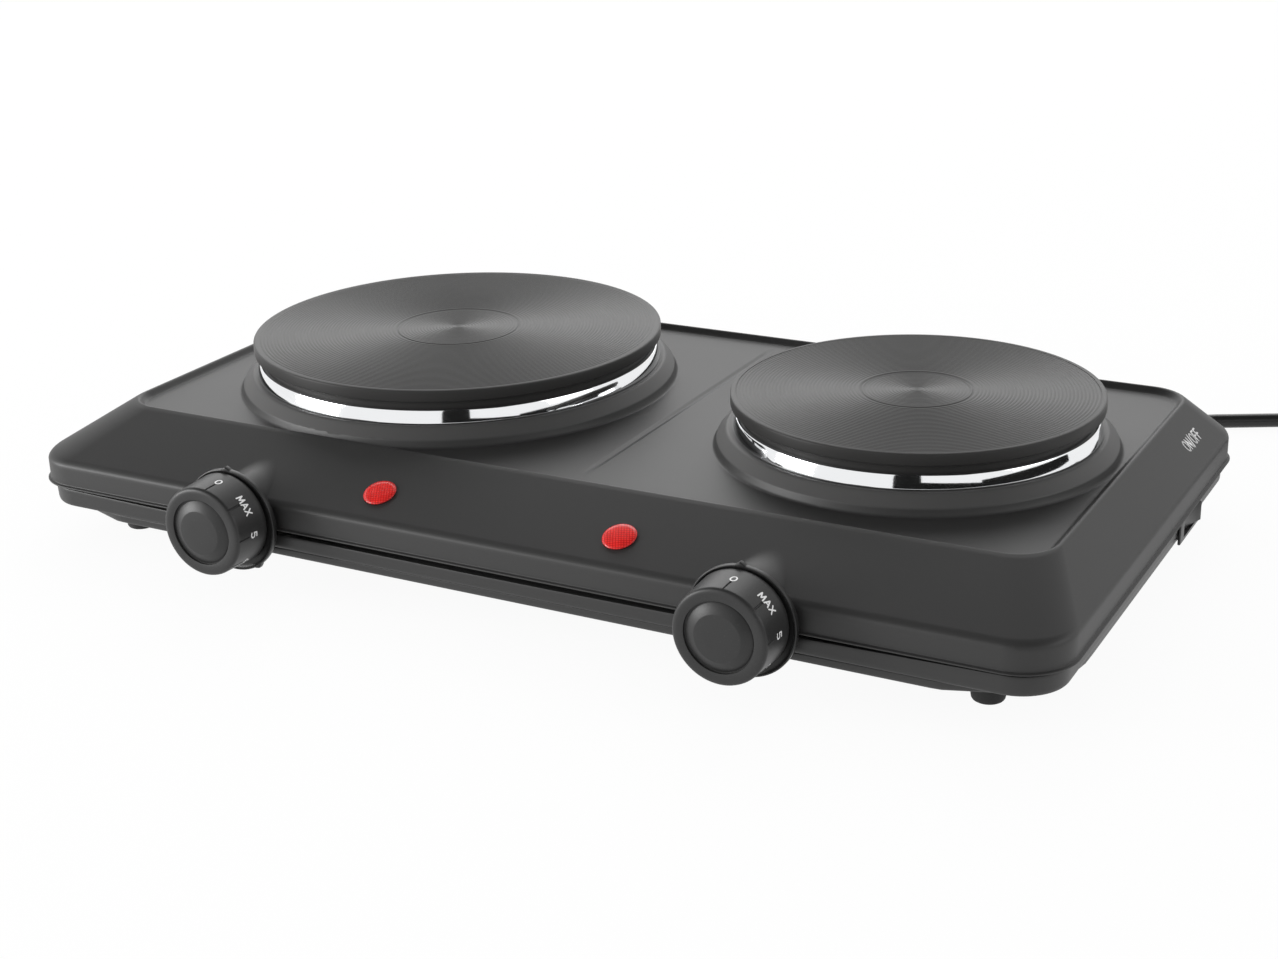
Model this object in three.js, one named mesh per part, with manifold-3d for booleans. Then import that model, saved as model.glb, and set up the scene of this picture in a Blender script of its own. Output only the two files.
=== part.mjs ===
// Double electric hot plate. Millimetres, +Z up, +X to the right, -Y to the front (dial) side.
// The row's origin is under the middle of the object, on the surface that it stands on.
import * as THREE from 'three';
import { mergeVertices } from 'three/addons/utils/BufferGeometryUtils.js';
import Module from 'manifold-3d';

const wasm = await Module();
wasm.setup();

// ---- Driving dimensions ----
const clearance = 0.3; // between pieces that seat on or fit in each other

// Housing in plan
const bodyLength = 472; // skirt, left end to right end
const bodyDepth = 258.9; // skirt, front to back
const bodyCornerRadius = 22;
const deckLength = 432.6; // crest of the bead around the deck
const deckDepth = 207.6;
const deckCornerRadius = 18;
const deckShift = 1.6; // deck middle, right of the body's middle
const backSlope = 11.9; // bead's crest, in from the skirt's back face

// Housing in height
const footHeight = 12.7;
const trayHeight = 13.9; // tray underside up to the bottom of the shell's lip
const skirtHeight = 11.4;
const slopeRise = 16.1; // bend above the skirt up to the bead's crest
const beadHeight = 2.5; // crest above the deck
const beadWidth = 4.6;
const bossHeight = 8; // plate seat above the deck
const bossEdgeHeight = 3.5; // outer edge of the plate boss above the deck
const bossSlopeWidth = 4.4; // sloped band of the plate boss, in plan
const bossFilletWidth = 4.5;
const shellWall = 0.9;
const lipFlare = 1.1;
const lipHeight = 2.2;

// Crease pressed across the deck between the plates
const creaseX = 19;
const creaseLength = 166;
const creaseWidth = 3;
const creaseDepth = 0.5;

// Tray
const trayWall = 0.9;
const trayInset = 2.6; // tray wall behind the skirt face
const trayLip = 0.4; // tray wall runs up this far behind the shell's lip
const trayLedgeHeight = 5.3; // ledge above the tray underside
const trayLedgeDepth = 0.9;
const trayFootInset = 4.8; // lower edge of the sloped band, in from the ledge
const ventCount = 6;
const ventLength = 44;
const ventWidth = 4;
const ventPitch = 10;

// Feet and their screws
const footEndInset = 35; // foot middle, in from the skirt's end
const footSideInset = 30; // and from its front or back face
const footRadius = 8;
const footScrewRadius = 1.9;
const footScrewHeadRadius = 3.8;
const footScrewHeadHeight = 2.2;
const footScrewRecess = 5.2;
const footScrewGrip = 14; // length in the shell's post
const postRadius = 5;

// Cast-iron plates and what holds them
const bigPlateX = -98.5;
const bigPlateRadius = 94;
const smallPlateX = 127.7;
const smallPlateRadius = 77.5;
const plateRimHeight = 5.3;
const plateWall = 5; // wall under the rim, which stands on the housing
const plateWallInset = 4.2; // its outside, in from the rim
const plateGap = 3.1; // dark gap between rim and trim ring
const plateThickness = 7;
const plateDiscRadius = 28.4; // engraved circle
const plateGrooveDepth = 0.5;
const ringHeight = 6.6;
const ringWall = 0.9;
const ringFoot = 1.3; // flare of the ring's foot past the plate's radius
const holeInset = 7; // housing opening, in from the plate's radius
const heaterRadius = 1.9; // of the sheathed heating rod
const heaterTurns = 2;
const heaterPitch = 13;
const heaterInset = 3; // outer turn, in from the plate's wall
const shieldWall = 0.8;
const shieldInset = 3; // shield edge, in from the plate's wall
const studRadius = 2.9;
const studTail = 3; // stud below the nut
const studBossRadius = 9;
const clampWidth = 16;
const clampThickness = 2;
const clampBearing = 4.5; // bar end under the housing's seat
const nutRadius = 5.6;
const nutHeight = 4.6;
const ceramicLength = 24;
const ceramicDepth = 12;
const ceramicHeight = 9;
const ceramicY = 34; // behind the stud

// Dials, thermostats and their collars
const dialSpacing = 236; // left dial axis to right dial axis
const dialHeight = 31.5; // axis above the table
const dialBossRadius = 16.6;
const dialBossProud = 0.8;
const dialBossTaper = 0.6;
const collarRadius = 22.7;
const collarDepth = 5;
const collarFloor = 2;
const collarRimWidth = 1.2;
const collarPointerRadius = 1.5;
const dialRadius = 19.8; // at the back
const dialFrontRadius = 19;
const dialLength = 19.2;
const dialEdge = 1.6; // rounding of the front edge
const dialWall = 2;
const dialGap = 0.9; // dial's back edge, in front of the collar's rim
const dialGrooveRadius = 13.9;
const dialGrooveWidth = 0.6;
const dialGrooveDepth = 0.6;
const dialDiscRadius = 9.2;
const dialDishDepth = 1.3;
const dialHubRadius = 6;
const shaftRadius = 3;
const shaftFlat = 0.7;
const shaftGrip = 9; // shaft inside the thermostat
const thermostatWidth = 30;
const thermostatHeight = 16;
const thermostatDepth = 20;
const thermostatPlateThickness = 1.5;
const thermostatPlateHeight = 8.2;
const thermostatNeck = 3.4;
const thermostatScrewSpacing = 26;
const thermostatScrewRadius = 1.5;
const thermostatScrewHeadRadius = 2.7;
const thermostatScrewHeadHeight = 1.4;

// Indicator lamps on the front slope
const lampSpacing = 112;
const lampShare = 0.61; // place down the slope, from the bead's crest (0) to the bend (1)
const lensRadius = 6.7;
const lensHeight = 2.3;
const lensStemRadius = 4.6;
const lensStemLength = 5;
const holderLength = 10;

// Rocker switch at the right end
const switchInset = 74.6; // switch middle, in from the skirt's back face
const switchFlangeLength = 34;
const switchFlangeHeight = 12.4;
const switchFlangeThickness = 1.2;
const switchBodyLength = 27;
const switchBodyHeight = 11;
const switchBodyDepth = 15;
const rockerLength = 21;
const rockerHeight = 8.6;
const rockerDepth = 5.6;
const rockerProud = 1.4;
const rockerTilt = 9; // degrees either side of level
const rockerPinRadius = 1;

// Mains lead
const cordRadius = 3.4;
const cordExitInset = 50; // lead's axis, in from the skirt's right end
const cordExitHeight = 20.2;
const reliefLength = 30;
const reliefNeckRadius = 4.9;
const reliefTipRadius = 4.5;
const reliefFlangeRadius = 6;
const reliefFlangeThickness = 1.4;
const reliefGrip = 6; // lead's end, back inside the relief's tip
const terminalLength = 30;
const terminalDepth = 16;
const terminalHeight = 14;
const wireRadius = 1.2;
const wireSpread = 8; // between a wire's end and the middle of the piece that it joins
const wireReach = 12; // straight part at a wire's end
const wireLift = 6; // above the tray's floor
const terminalInset = 55; // terminal middle, in from the skirt's back face
const leadStraight = 37.3; // lead past the relief's tip, before it turns to the right
const leadBendRadius = 33.5;
const leadBendAngle = 63.2; // degrees
const leadDropLength = 58; // from the relief's tip until it lies on the table
const leadTableRun = 88.5; // from the bend to where it meets the wound part's outer turn
const coilRadius = 36; // middle of the turns
const coilColumns = 2;
const coilLayers = 2;
const plugRadius = 18.6;
const plugFaceLength = 18;
const plugTaperLength = 26;
const plugNeckRadius = 6.2;
const plugNeckLength = 10;
const tailLength = 57.6; // from the wound part to the plug
const pinRadius = 2.4;
const pinSocket = 6;
const pinLength = 19;
const pinSpacing = 19;

// ---- Heights worked out from them, above the table ----
const trayBottom = footHeight;
const lipBottom = trayBottom + trayHeight;
const bendHeight = lipBottom + skirtHeight;
const crestHeight = bendHeight + slopeRise;
const deckHeight = crestHeight - beadHeight;
const seatHeight = deckHeight + bossHeight;
const ringTop = seatHeight + clearance + ringHeight;
const rimBottom = ringTop + plateGap;
const plateTop = rimBottom + plateRimHeight;
const floorTop = trayBottom + trayWall;
const trayTop = lipBottom + trayLip;

// ---- Places worked out from them ----
const dialReach = dialBossProud + clearance + collarDepth + dialGap + dialLength;
const wholeDepth = dialReach + bodyDepth + lipFlare;
const bodyFront = dialReach - wholeDepth / 2;
const bodyBack = bodyFront + bodyDepth;
const deckBack = bodyBack - backSlope;
const deckFront = deckBack - deckDepth;
const plateY = (deckFront + deckBack) / 2;
const collarBack = bodyFront - dialBossProud - clearance;
const dialBack = collarBack - collarDepth - dialGap;
const trayWallX = bodyLength / 2 - trayInset;
const trayWallBack = bodyBack - trayInset;
const slopeAngle = Math.atan2(slopeRise, deckFront - bodyFront);

// ---- Materials ----
const paint = (color, roughness, metalness) =>
  new THREE.MeshStandardMaterial({ color, roughness, metalness });
const shellPaint = paint(0x4a4b4d, 0.42, 0.25);
const trayPaint = paint(0x3c3d3f, 0.5, 0.25);
const castIron = paint(0x3a3a3b, 0.55, 0.5);
const chrome = paint(0xd8dadc, 0.08, 1);
const zincSteel = paint(0xa9acae, 0.35, 0.9);
const aluminium = paint(0xb4b6b8, 0.4, 0.9);
const rubber = paint(0x1b1b1c, 0.85, 0);
const dialPlastic = paint(0x2b2b2d, 0.5, 0);
const blackPlastic = paint(0x151516, 0.4, 0);
const redLens = paint(0xb01218, 0.15, 0);
const ceramic = paint(0xe6e0d2, 0.6, 0);
const brass = paint(0xb9954a, 0.3, 0.9);
const wireSleeve = paint(0x8d3b2a, 0.6, 0);

// ---- Geometry helpers ----
const model = new THREE.Group();

// A closed geometry as a manifold-3d solid: shared corners merged, faces of no area left out.
function solidOf(shape) {
  if (!shape.isBufferGeometry) return shape;
  const bare = shape.clone();
  bare.deleteAttribute('normal');
  bare.deleteAttribute('uv');
  const merged = mergeVertices(bare, 1e-4);
  const corners = merged.index.array;
  const kept = [];
  for (let i = 0; i < corners.length; i += 3) {
    const [a, b, c] = [corners[i], corners[i + 1], corners[i + 2]];
    if (a !== b && b !== c && c !== a) kept.push(a, b, c);
  }
  const vertProperties = Float32Array.from(merged.attributes.position.array);
  const triVerts = Uint32Array.from(kept);
  return new wasm.Manifold(new wasm.Mesh({ numProp: 3, vertProperties, triVerts }));
}

const join = (...shapes) => shapes.map(solidOf).reduce((whole, shape) => whole.add(shape));
const cut = (shape, ...tools) =>
  tools.map(solidOf).reduce((rest, tool) => rest.subtract(tool), solidOf(shape));

function addPiece(name, shape, material, parent = model) {
  const mesh = solidOf(shape).getMesh();
  const geometry = new THREE.BufferGeometry();
  geometry.setAttribute('position', new THREE.BufferAttribute(mesh.vertProperties, 3));
  geometry.setIndex(new THREE.BufferAttribute(mesh.triVerts, 1));
  geometry.computeVertexNormals();
  const piece = new THREE.Mesh(geometry, material);
  piece.name = name;
  parent.add(piece);
}

function addGroup(x, y, z, turnX = 0) {
  const group = new THREE.Group();
  group.position.set(x, y, z);
  group.rotation.x = turnX;
  model.add(group);
  return group;
}

// A turned shape about +Z, from a closed profile of [radius, height] pairs in either order.
function turned(profile, segments) {
  const points = profile.map(([radius, height]) => new THREE.Vector2(radius, height));
  if (THREE.ShapeUtils.area(points) < 0) points.reverse();
  points.push(points[0].clone());
  return new THREE.LatheGeometry(points, segments).rotateX(Math.PI / 2);
}

function rod(radius, bottom, top, segments) {
  return turned([[0, bottom], [radius, bottom], [radius, top], [0, top]], segments);
}

function box(width, depth, height, x, y, z) {
  return new THREE.BoxGeometry(width, depth, height).translate(x, y, z);
}

// A prism along +Z over a closed outline of [x, y] pairs.
function prism(outline, height) {
  const shape = new THREE.Shape(outline.map(([x, y]) => new THREE.Vector2(x, y)));
  return new THREE.ExtrudeGeometry(shape, { depth: height, bevelEnabled: false });
}

// A round tube with closed ends, along a smooth curve through the points.
function tube(points, radius, sides, steps) {
  const corner = (i) => (2 * Math.PI * i) / sides;
  const outline = Array.from({ length: sides }, (_, i) => [Math.cos(corner(i)), Math.sin(corner(i))]);
  const section = new THREE.Shape(outline.map(([x, y]) => new THREE.Vector2(x * radius, y * radius)));
  const knots = points.map((p) => new THREE.Vector3(...p));
  const route = new THREE.CatmullRomCurve3(knots, false, 'centripetal');
  return new THREE.ExtrudeGeometry(section, { steps, extrudePath: route, bevelEnabled: false });
}

// Rounded rectangles between the skirt (share 0) and the bead's crest (share 1), grown outwards.
const skirtEdge = {
  left: -bodyLength / 2, right: bodyLength / 2, front: bodyFront, back: bodyBack,
  corner: bodyCornerRadius,
};
const beadEdge = {
  left: deckShift - deckLength / 2, right: deckShift + deckLength / 2,
  front: deckFront, back: deckBack, corner: deckCornerRadius,
};
const cornerSteps = 6;

function ringAt(share, grow, height) {
  const mix = (key) => skirtEdge[key] + (beadEdge[key] - skirtEdge[key]) * share;
  const radius = Math.max(mix('corner') + grow, 1);
  const [left, right] = [mix('left') - grow + radius, mix('right') + grow - radius];
  const [front, back] = [mix('front') - grow + radius, mix('back') + grow - radius];
  const middles = [[right, back], [left, back], [left, front], [right, front]];
  return middles.flatMap(([x, y], quarter) => Array.from({ length: cornerSteps + 1 }, (_, step) => {
    const angle = (Math.PI / 2) * (quarter + step / cornerSteps);
    return new THREE.Vector3(x + radius * Math.cos(angle), y + radius * Math.sin(angle), height);
  }));
}

// A filled solid through rounded rectangles, given from its underside round to its top.
function stacked(rings) {
  const count = rings[0].length;
  const index = [];
  for (let level = 0; level + 1 < rings.length; level++) {
    for (let i = 0; i < count; i++) {
      const a = level * count + i;
      const b = level * count + ((i + 1) % count);
      index.push(a, b, b + count, a, b + count, a + count);
    }
  }
  const top = (rings.length - 1) * count;
  for (let i = 1; i + 1 < count; i++) index.push(0, i + 1, i, top, top + i, top + i + 1);
  const geometry = new THREE.BufferGeometry().setFromPoints(rings.flat());
  geometry.setIndex(index);
  return geometry;
}

// ---- Places of repeated pieces ----
const sides = [{ name: 'left', way: -1 }, { name: 'right', way: 1 }];
const plates = [
  { name: 'big', x: bigPlateX, radius: bigPlateRadius },
  { name: 'small', x: smallPlateX, radius: smallPlateRadius },
];
const feet = sides.flatMap(({ name, way }) => [
  { name: `front_${name}`, x: way * (bodyLength / 2 - footEndInset), y: bodyFront + footSideInset },
  { name: `back_${name}`, x: way * (bodyLength / 2 - footEndInset), y: bodyBack - footSideInset },
]);
const dialX = (way) => (way * dialSpacing) / 2;
const lampX = (way) => (way * lampSpacing) / 2;
const lampY = deckFront - lampShare * (deckFront - bodyFront);
const lampZ = crestHeight - lampShare * slopeRise;

// ---- Top shell: one pressed steel sheet ----
const bendRounding = 1.8;
const bendShare = 0.08;
const crestShare = 0.95;
const slopeHeight = (share) => bendHeight + slopeRise * share;
const seatRadius = (plate) => plate.radius + ringFoot + clearance;
const plateSegments = 40;

function bossOutside(plate) {
  const seat = seatRadius(plate);
  const edge = seat + bossSlopeWidth;
  return turned([
    [0, deckHeight - beadHeight], [edge + bossFilletWidth, deckHeight - beadHeight],
    [edge + bossFilletWidth, deckHeight], [edge + bossFilletWidth / 3, deckHeight + bossEdgeHeight / 6],
    [edge, deckHeight + bossEdgeHeight], [seat, seatHeight], [0, seatHeight],
  ], plateSegments).translate(plate.x, plateY, 0);
}

function bossInside(plate) {
  const seat = seatRadius(plate);
  const edge = seat + bossSlopeWidth;
  return turned([
    [0, deckHeight - beadHeight - shellWall], [edge, deckHeight - beadHeight - shellWall],
    [edge - shellWall / 2, deckHeight - shellWall],
    [edge - shellWall, deckHeight + bossEdgeHeight - shellWall],
    [seat - shellWall / 2, seatHeight - shellWall], [0, seatHeight - shellWall],
  ], plateSegments).translate(plate.x, plateY, 0);
}

// A dial boss stands on the skirt and dies into the slope behind it.
function dialBoss(way, inset) {
  const front = bodyFront - dialBossProud + inset;
  const back = deckFront;
  const radius = dialBossRadius - inset;
  const barrel = turned([
    [0, -back], [radius - dialBossTaper, -back], [radius, -front], [0, -front],
  ], 28)
    .rotateX(Math.PI / 2).translate(dialX(way), 0, dialHeight);
  const floor = lipBottom + lipHeight + inset;
  const below = box(4 * dialBossRadius, bodyDepth, bodyDepth, dialX(way), front, floor - bodyDepth / 2);
  return cut(barrel, below);
}

const alongY = (geometry, x, y, z) => geometry.rotateX(Math.PI / 2).translate(x, y, z);

const shellOutside = join(
  stacked([
    ringAt(0, lipFlare / 3, lipBottom), ringAt(0, lipFlare, lipBottom + lipHeight / 4),
    ringAt(0, lipFlare, lipBottom + lipHeight / 2), ringAt(0, 0, lipBottom + lipHeight),
    ringAt(0, 0, bendHeight - bendRounding), ringAt(bendShare / 4, 0, bendHeight - bendRounding / 6),
    ringAt(bendShare, 0, slopeHeight(bendShare)), ringAt(crestShare, 0, slopeHeight(crestShare)),
    ringAt(1, 0.5, crestHeight - 0.2), ringAt(1, -beadWidth / 4, crestHeight),
    ringAt(1, -beadWidth / 2, crestHeight - beadHeight / 5), ringAt(1, -beadWidth, deckHeight),
  ]),
  ...plates.map(bossOutside),
  ...sides.map(({ way }) => dialBoss(way, 0)),
);
const shellInside = join(
  stacked([
    ringAt(0, -shellWall, lipBottom - trayHeight),
    ringAt(0, -shellWall, bendHeight - bendRounding - shellWall / 2),
    ringAt(bendShare, -shellWall, slopeHeight(bendShare) - shellWall),
    ringAt(crestShare, -shellWall, slopeHeight(crestShare) - shellWall),
    ringAt(1, -beadWidth / 4 - shellWall, crestHeight - shellWall),
    ringAt(1, -beadWidth - shellWall, deckHeight - shellWall),
  ]),
  ...plates.map(bossInside),
  ...sides.map(({ way }) => dialBoss(way, shellWall)),
);
const posts = feet.map(({ x, y }) => {
  const post = solidOf(rod(postRadius, floorTop + clearance, seatHeight, 16).translate(x, y, 0));
  const lowered = shellOutside.translate([0, 0, -shellWall / 2]);
  return post.intersect(lowered);
});
const crease = prism([
  [-creaseWidth / 2, 0], [0, -creaseDepth], [creaseWidth / 2, 0], [0, creaseDepth],
], creaseLength)
  .rotateX(Math.PI / 2).translate(creaseX, plateY + creaseLength / 2 + 3, deckHeight);

addPiece('top_shell', cut(
  join(cut(shellOutside, shellInside), ...posts),
  ...plates.map(({ x, radius }) =>
    rod(radius - holeInset, 0, plateTop, plateSegments).translate(x, plateY, 0)),
  ...feet.map(({ x, y }) =>
    rod(footScrewRadius + clearance, 0, floorTop + footScrewGrip, 12).translate(x, y, 0)),
  ...sides.flatMap(({ way }) => [
    alongY(rod(shaftRadius + 1, -deckFront, wholeDepth, 16), dialX(way), 0, dialHeight),
    ...[-1, 1].map((end) => alongY(rod(thermostatScrewRadius + clearance, -deckFront, wholeDepth, 12),
      dialX(way) + (end * thermostatScrewSpacing) / 2, 0, dialHeight)),
    rod(lensStemRadius + clearance, -lensStemLength, lensStemLength, 16)
      .rotateX(slopeAngle).translate(lampX(way), lampY, lampZ),
  ]),
  crease,
), shellPaint);

// ---- Base tray: pressed steel, a sloped band under the ledge leads to the flat floor ----
const trayEdge = trayInset + trayLedgeDepth + trayFootInset;
const trayEdgeRounding = 1.6;
function trayStack(wall, floor, top) {
  return stacked([
    ringAt(0, -trayEdge - trayEdgeRounding - wall / 2, floor),
    ringAt(0, -trayEdge - wall, floor + trayEdgeRounding - wall / 2),
    ringAt(0, -trayInset - trayLedgeDepth - wall, trayBottom + trayLedgeHeight),
    ringAt(0, -trayInset - wall, trayBottom + trayLedgeHeight + trayLedgeDepth / 2),
    ringAt(0, -trayInset - wall, top),
  ]);
}
const vents = sides.flatMap(({ way }) => Array.from({ length: ventCount }, (_, i) => {
  const x = way * bodyLength / 4 + (i - (ventCount - 1) / 2) * ventPitch;
  return box(ventWidth, ventLength, trayHeight, x, plateY, trayBottom);
}));
const cordExitX = bodyLength / 2 - cordExitInset;
const switchX = trayWallX + clearance; // back of the switch's flange
const switchY = bodyBack - switchInset;
const switchZ = lipBottom - clearance - switchFlangeHeight / 2;

addPiece('base_tray', cut(
  trayStack(0, trayBottom, trayTop),
  trayStack(trayWall, floorTop, trayTop + trayHeight),
  ...vents,
  ...feet.map(({ x, y }) => rod(footScrewRadius + clearance, 0, lipBottom, 12).translate(x, y, 0)),
  box(4 * switchBodyDepth, switchBodyLength + 2 * clearance, switchBodyHeight + 2 * clearance,
    bodyLength / 2, switchY, switchZ),
  alongY(rod(reliefNeckRadius + clearance, -bodyBack - trayEdge, trayEdge + trayWall - bodyBack, 20),
    cordExitX, 0, cordExitHeight),
), trayPaint);

// ---- Feet and the screws that hold tray and shell together ----
for (const { name, x, y } of feet) {
  const place = addGroup(x, y, 0);
  const bore = footScrewRadius + clearance;
  const recess = footScrewHeadRadius + clearance;
  addPiece(`foot_${name}`, turned([
    [recess, 0], [footRadius - 1.6, 0], [footRadius - 0.5, 0.8], [footRadius, 2.4],
    [footRadius, trayBottom - clearance], [bore, trayBottom - clearance], [bore, footScrewRecess],
    [recess, footScrewRecess],
  ], 16), rubber, place);
  const head = footScrewRecess - clearance;
  addPiece(`foot_screw_${name}`, turned([
    [0, head - footScrewHeadHeight], [footScrewHeadRadius - 0.8, head - footScrewHeadHeight],
    [footScrewHeadRadius, head - 0.6], [footScrewHeadRadius, head], [footScrewRadius, head],
    [footScrewRadius, floorTop + footScrewGrip - clearance], [0, floorTop + footScrewGrip - clearance],
  ], 12), zincSteel, place);
}

// ---- Plates, trim rings, heaters and their clamping ----
const underside = plateTop - plateThickness;
const clampTop = seatHeight - shellWall - clearance;
const clampBottom = clampTop - clampThickness;
const shieldBottom = clampTop + clearance;
const heaterHeight = underside - clearance - heaterRadius;
const studTop = underside + 2;
const nutBottom = clampBottom - clearance - nutHeight;

for (const { name, x, radius } of plates) {
  const place = addGroup(x, plateY, 0);
  const wallOutside = radius - plateWallInset;
  const wallInside = wallOutside - plateWall;
  const bossBottom = shieldBottom + shieldWall + clearance;
  addPiece(`${name}_hotplate`, turned([
    [0, plateTop], [plateDiscRadius - plateGrooveDepth, plateTop],
    [plateDiscRadius, plateTop - plateGrooveDepth],
    [plateDiscRadius + plateGrooveDepth, plateTop], [radius - 1.8, plateTop],
    [radius - 0.5, plateTop - 0.6], [radius, plateTop - 2], [radius, rimBottom + 0.5],
    [radius - 0.8, rimBottom], [wallOutside, rimBottom], [wallOutside, seatHeight + clearance],
    [wallInside, seatHeight + clearance], [wallInside, underside],
    [studBossRadius, underside], [studBossRadius, bossBottom], [studRadius + clearance, bossBottom],
    [studRadius + clearance, studTop], [0, studTop],
  ], plateSegments), castIron, place);

  const foot = seatHeight + clearance;
  const ringBore = wallOutside + clearance;
  addPiece(`${name}_trim_ring`, turned([
    [ringBore, ringTop], [radius - 1.3, ringTop], [radius - 0.3, ringTop - 1],
    [radius, ringTop - ringHeight / 2],
    [radius + 0.2, foot + 1.2], [radius + ringFoot, foot + 0.3], [radius + ringFoot, foot],
    [radius + ringFoot - ringWall, foot], [radius - ringWall, foot + 1.4],
    [radius - 1 - ringWall, ringTop - ringWall],
    [ringBore, ringTop - ringWall],
  ], plateSegments), chrome, place);

  const outerTurn = wallInside - heaterInset - heaterRadius;
  const turnsAround = Array.from({ length: 12 * heaterTurns + 1 }, (_, i) => {
    const angle = (Math.PI / 6) * i;
    const turnRadius = outerTurn - (heaterPitch * i) / 12;
    return [turnRadius * Math.cos(angle), turnRadius * Math.sin(angle), heaterHeight];
  });
  const coil = tube(turnsAround, heaterRadius, 6, 16 * heaterTurns);
  addPiece(`${name}_heating_coil`, coil, zincSteel, place);

  const shieldRadius = wallInside - shieldInset;
  const shieldRim = heaterHeight - heaterRadius - clearance;
  const hole = studRadius + clearance;
  addPiece(`${name}_heat_shield`, turned([
    [hole, shieldBottom], [shieldRadius - 6, shieldBottom], [shieldRadius, shieldRim - 1],
    [shieldRadius, shieldRim],
    [shieldRadius - shieldWall, shieldRim], [shieldRadius - shieldWall - 0.4, shieldRim - 1],
    [shieldRadius - 6.4, shieldBottom + shieldWall], [hole, shieldBottom + shieldWall],
  ], 32), aluminium, place);

  const clampLength = 2 * (radius - holeInset + clampBearing);
  const bar = box(clampLength, clampWidth, clampThickness, 0, 0, clampTop - clampThickness / 2);
  addPiece(`${name}_clamp_bar`, cut(bar, rod(hole, 0, plateTop, 12)), zincSteel, place);
  const stud = rod(studRadius, nutBottom - studTail, studTop - clearance, 12);
  addPiece(`${name}_centre_stud`, stud, zincSteel, place);
  addPiece(`${name}_clamp_nut`, cut(
    rod(nutRadius, nutBottom, nutBottom + nutHeight, 6), rod(hole, 0, plateTop, 12),
  ), brass, place);
  addPiece(`${name}_terminal_ceramic`, box(ceramicLength, ceramicDepth, ceramicHeight,
    0, ceramicY, clampTop - ceramicHeight / 2), ceramic, place);
}

// ---- Dials, collars, shafts and thermostats ----
const shellInnerY = bodyFront + shellWall + clearance;
const plateBackY = shellInnerY + thermostatPlateThickness;
const thermostatFront = plateBackY + thermostatNeck;
const shaftBack = shellInnerY + shaftGrip;
const dialFront = dialBack - dialLength;
const boreDepth = dialLength - dialDishDepth - dialWall;
const flatAt = shaftRadius - shaftFlat;

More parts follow.
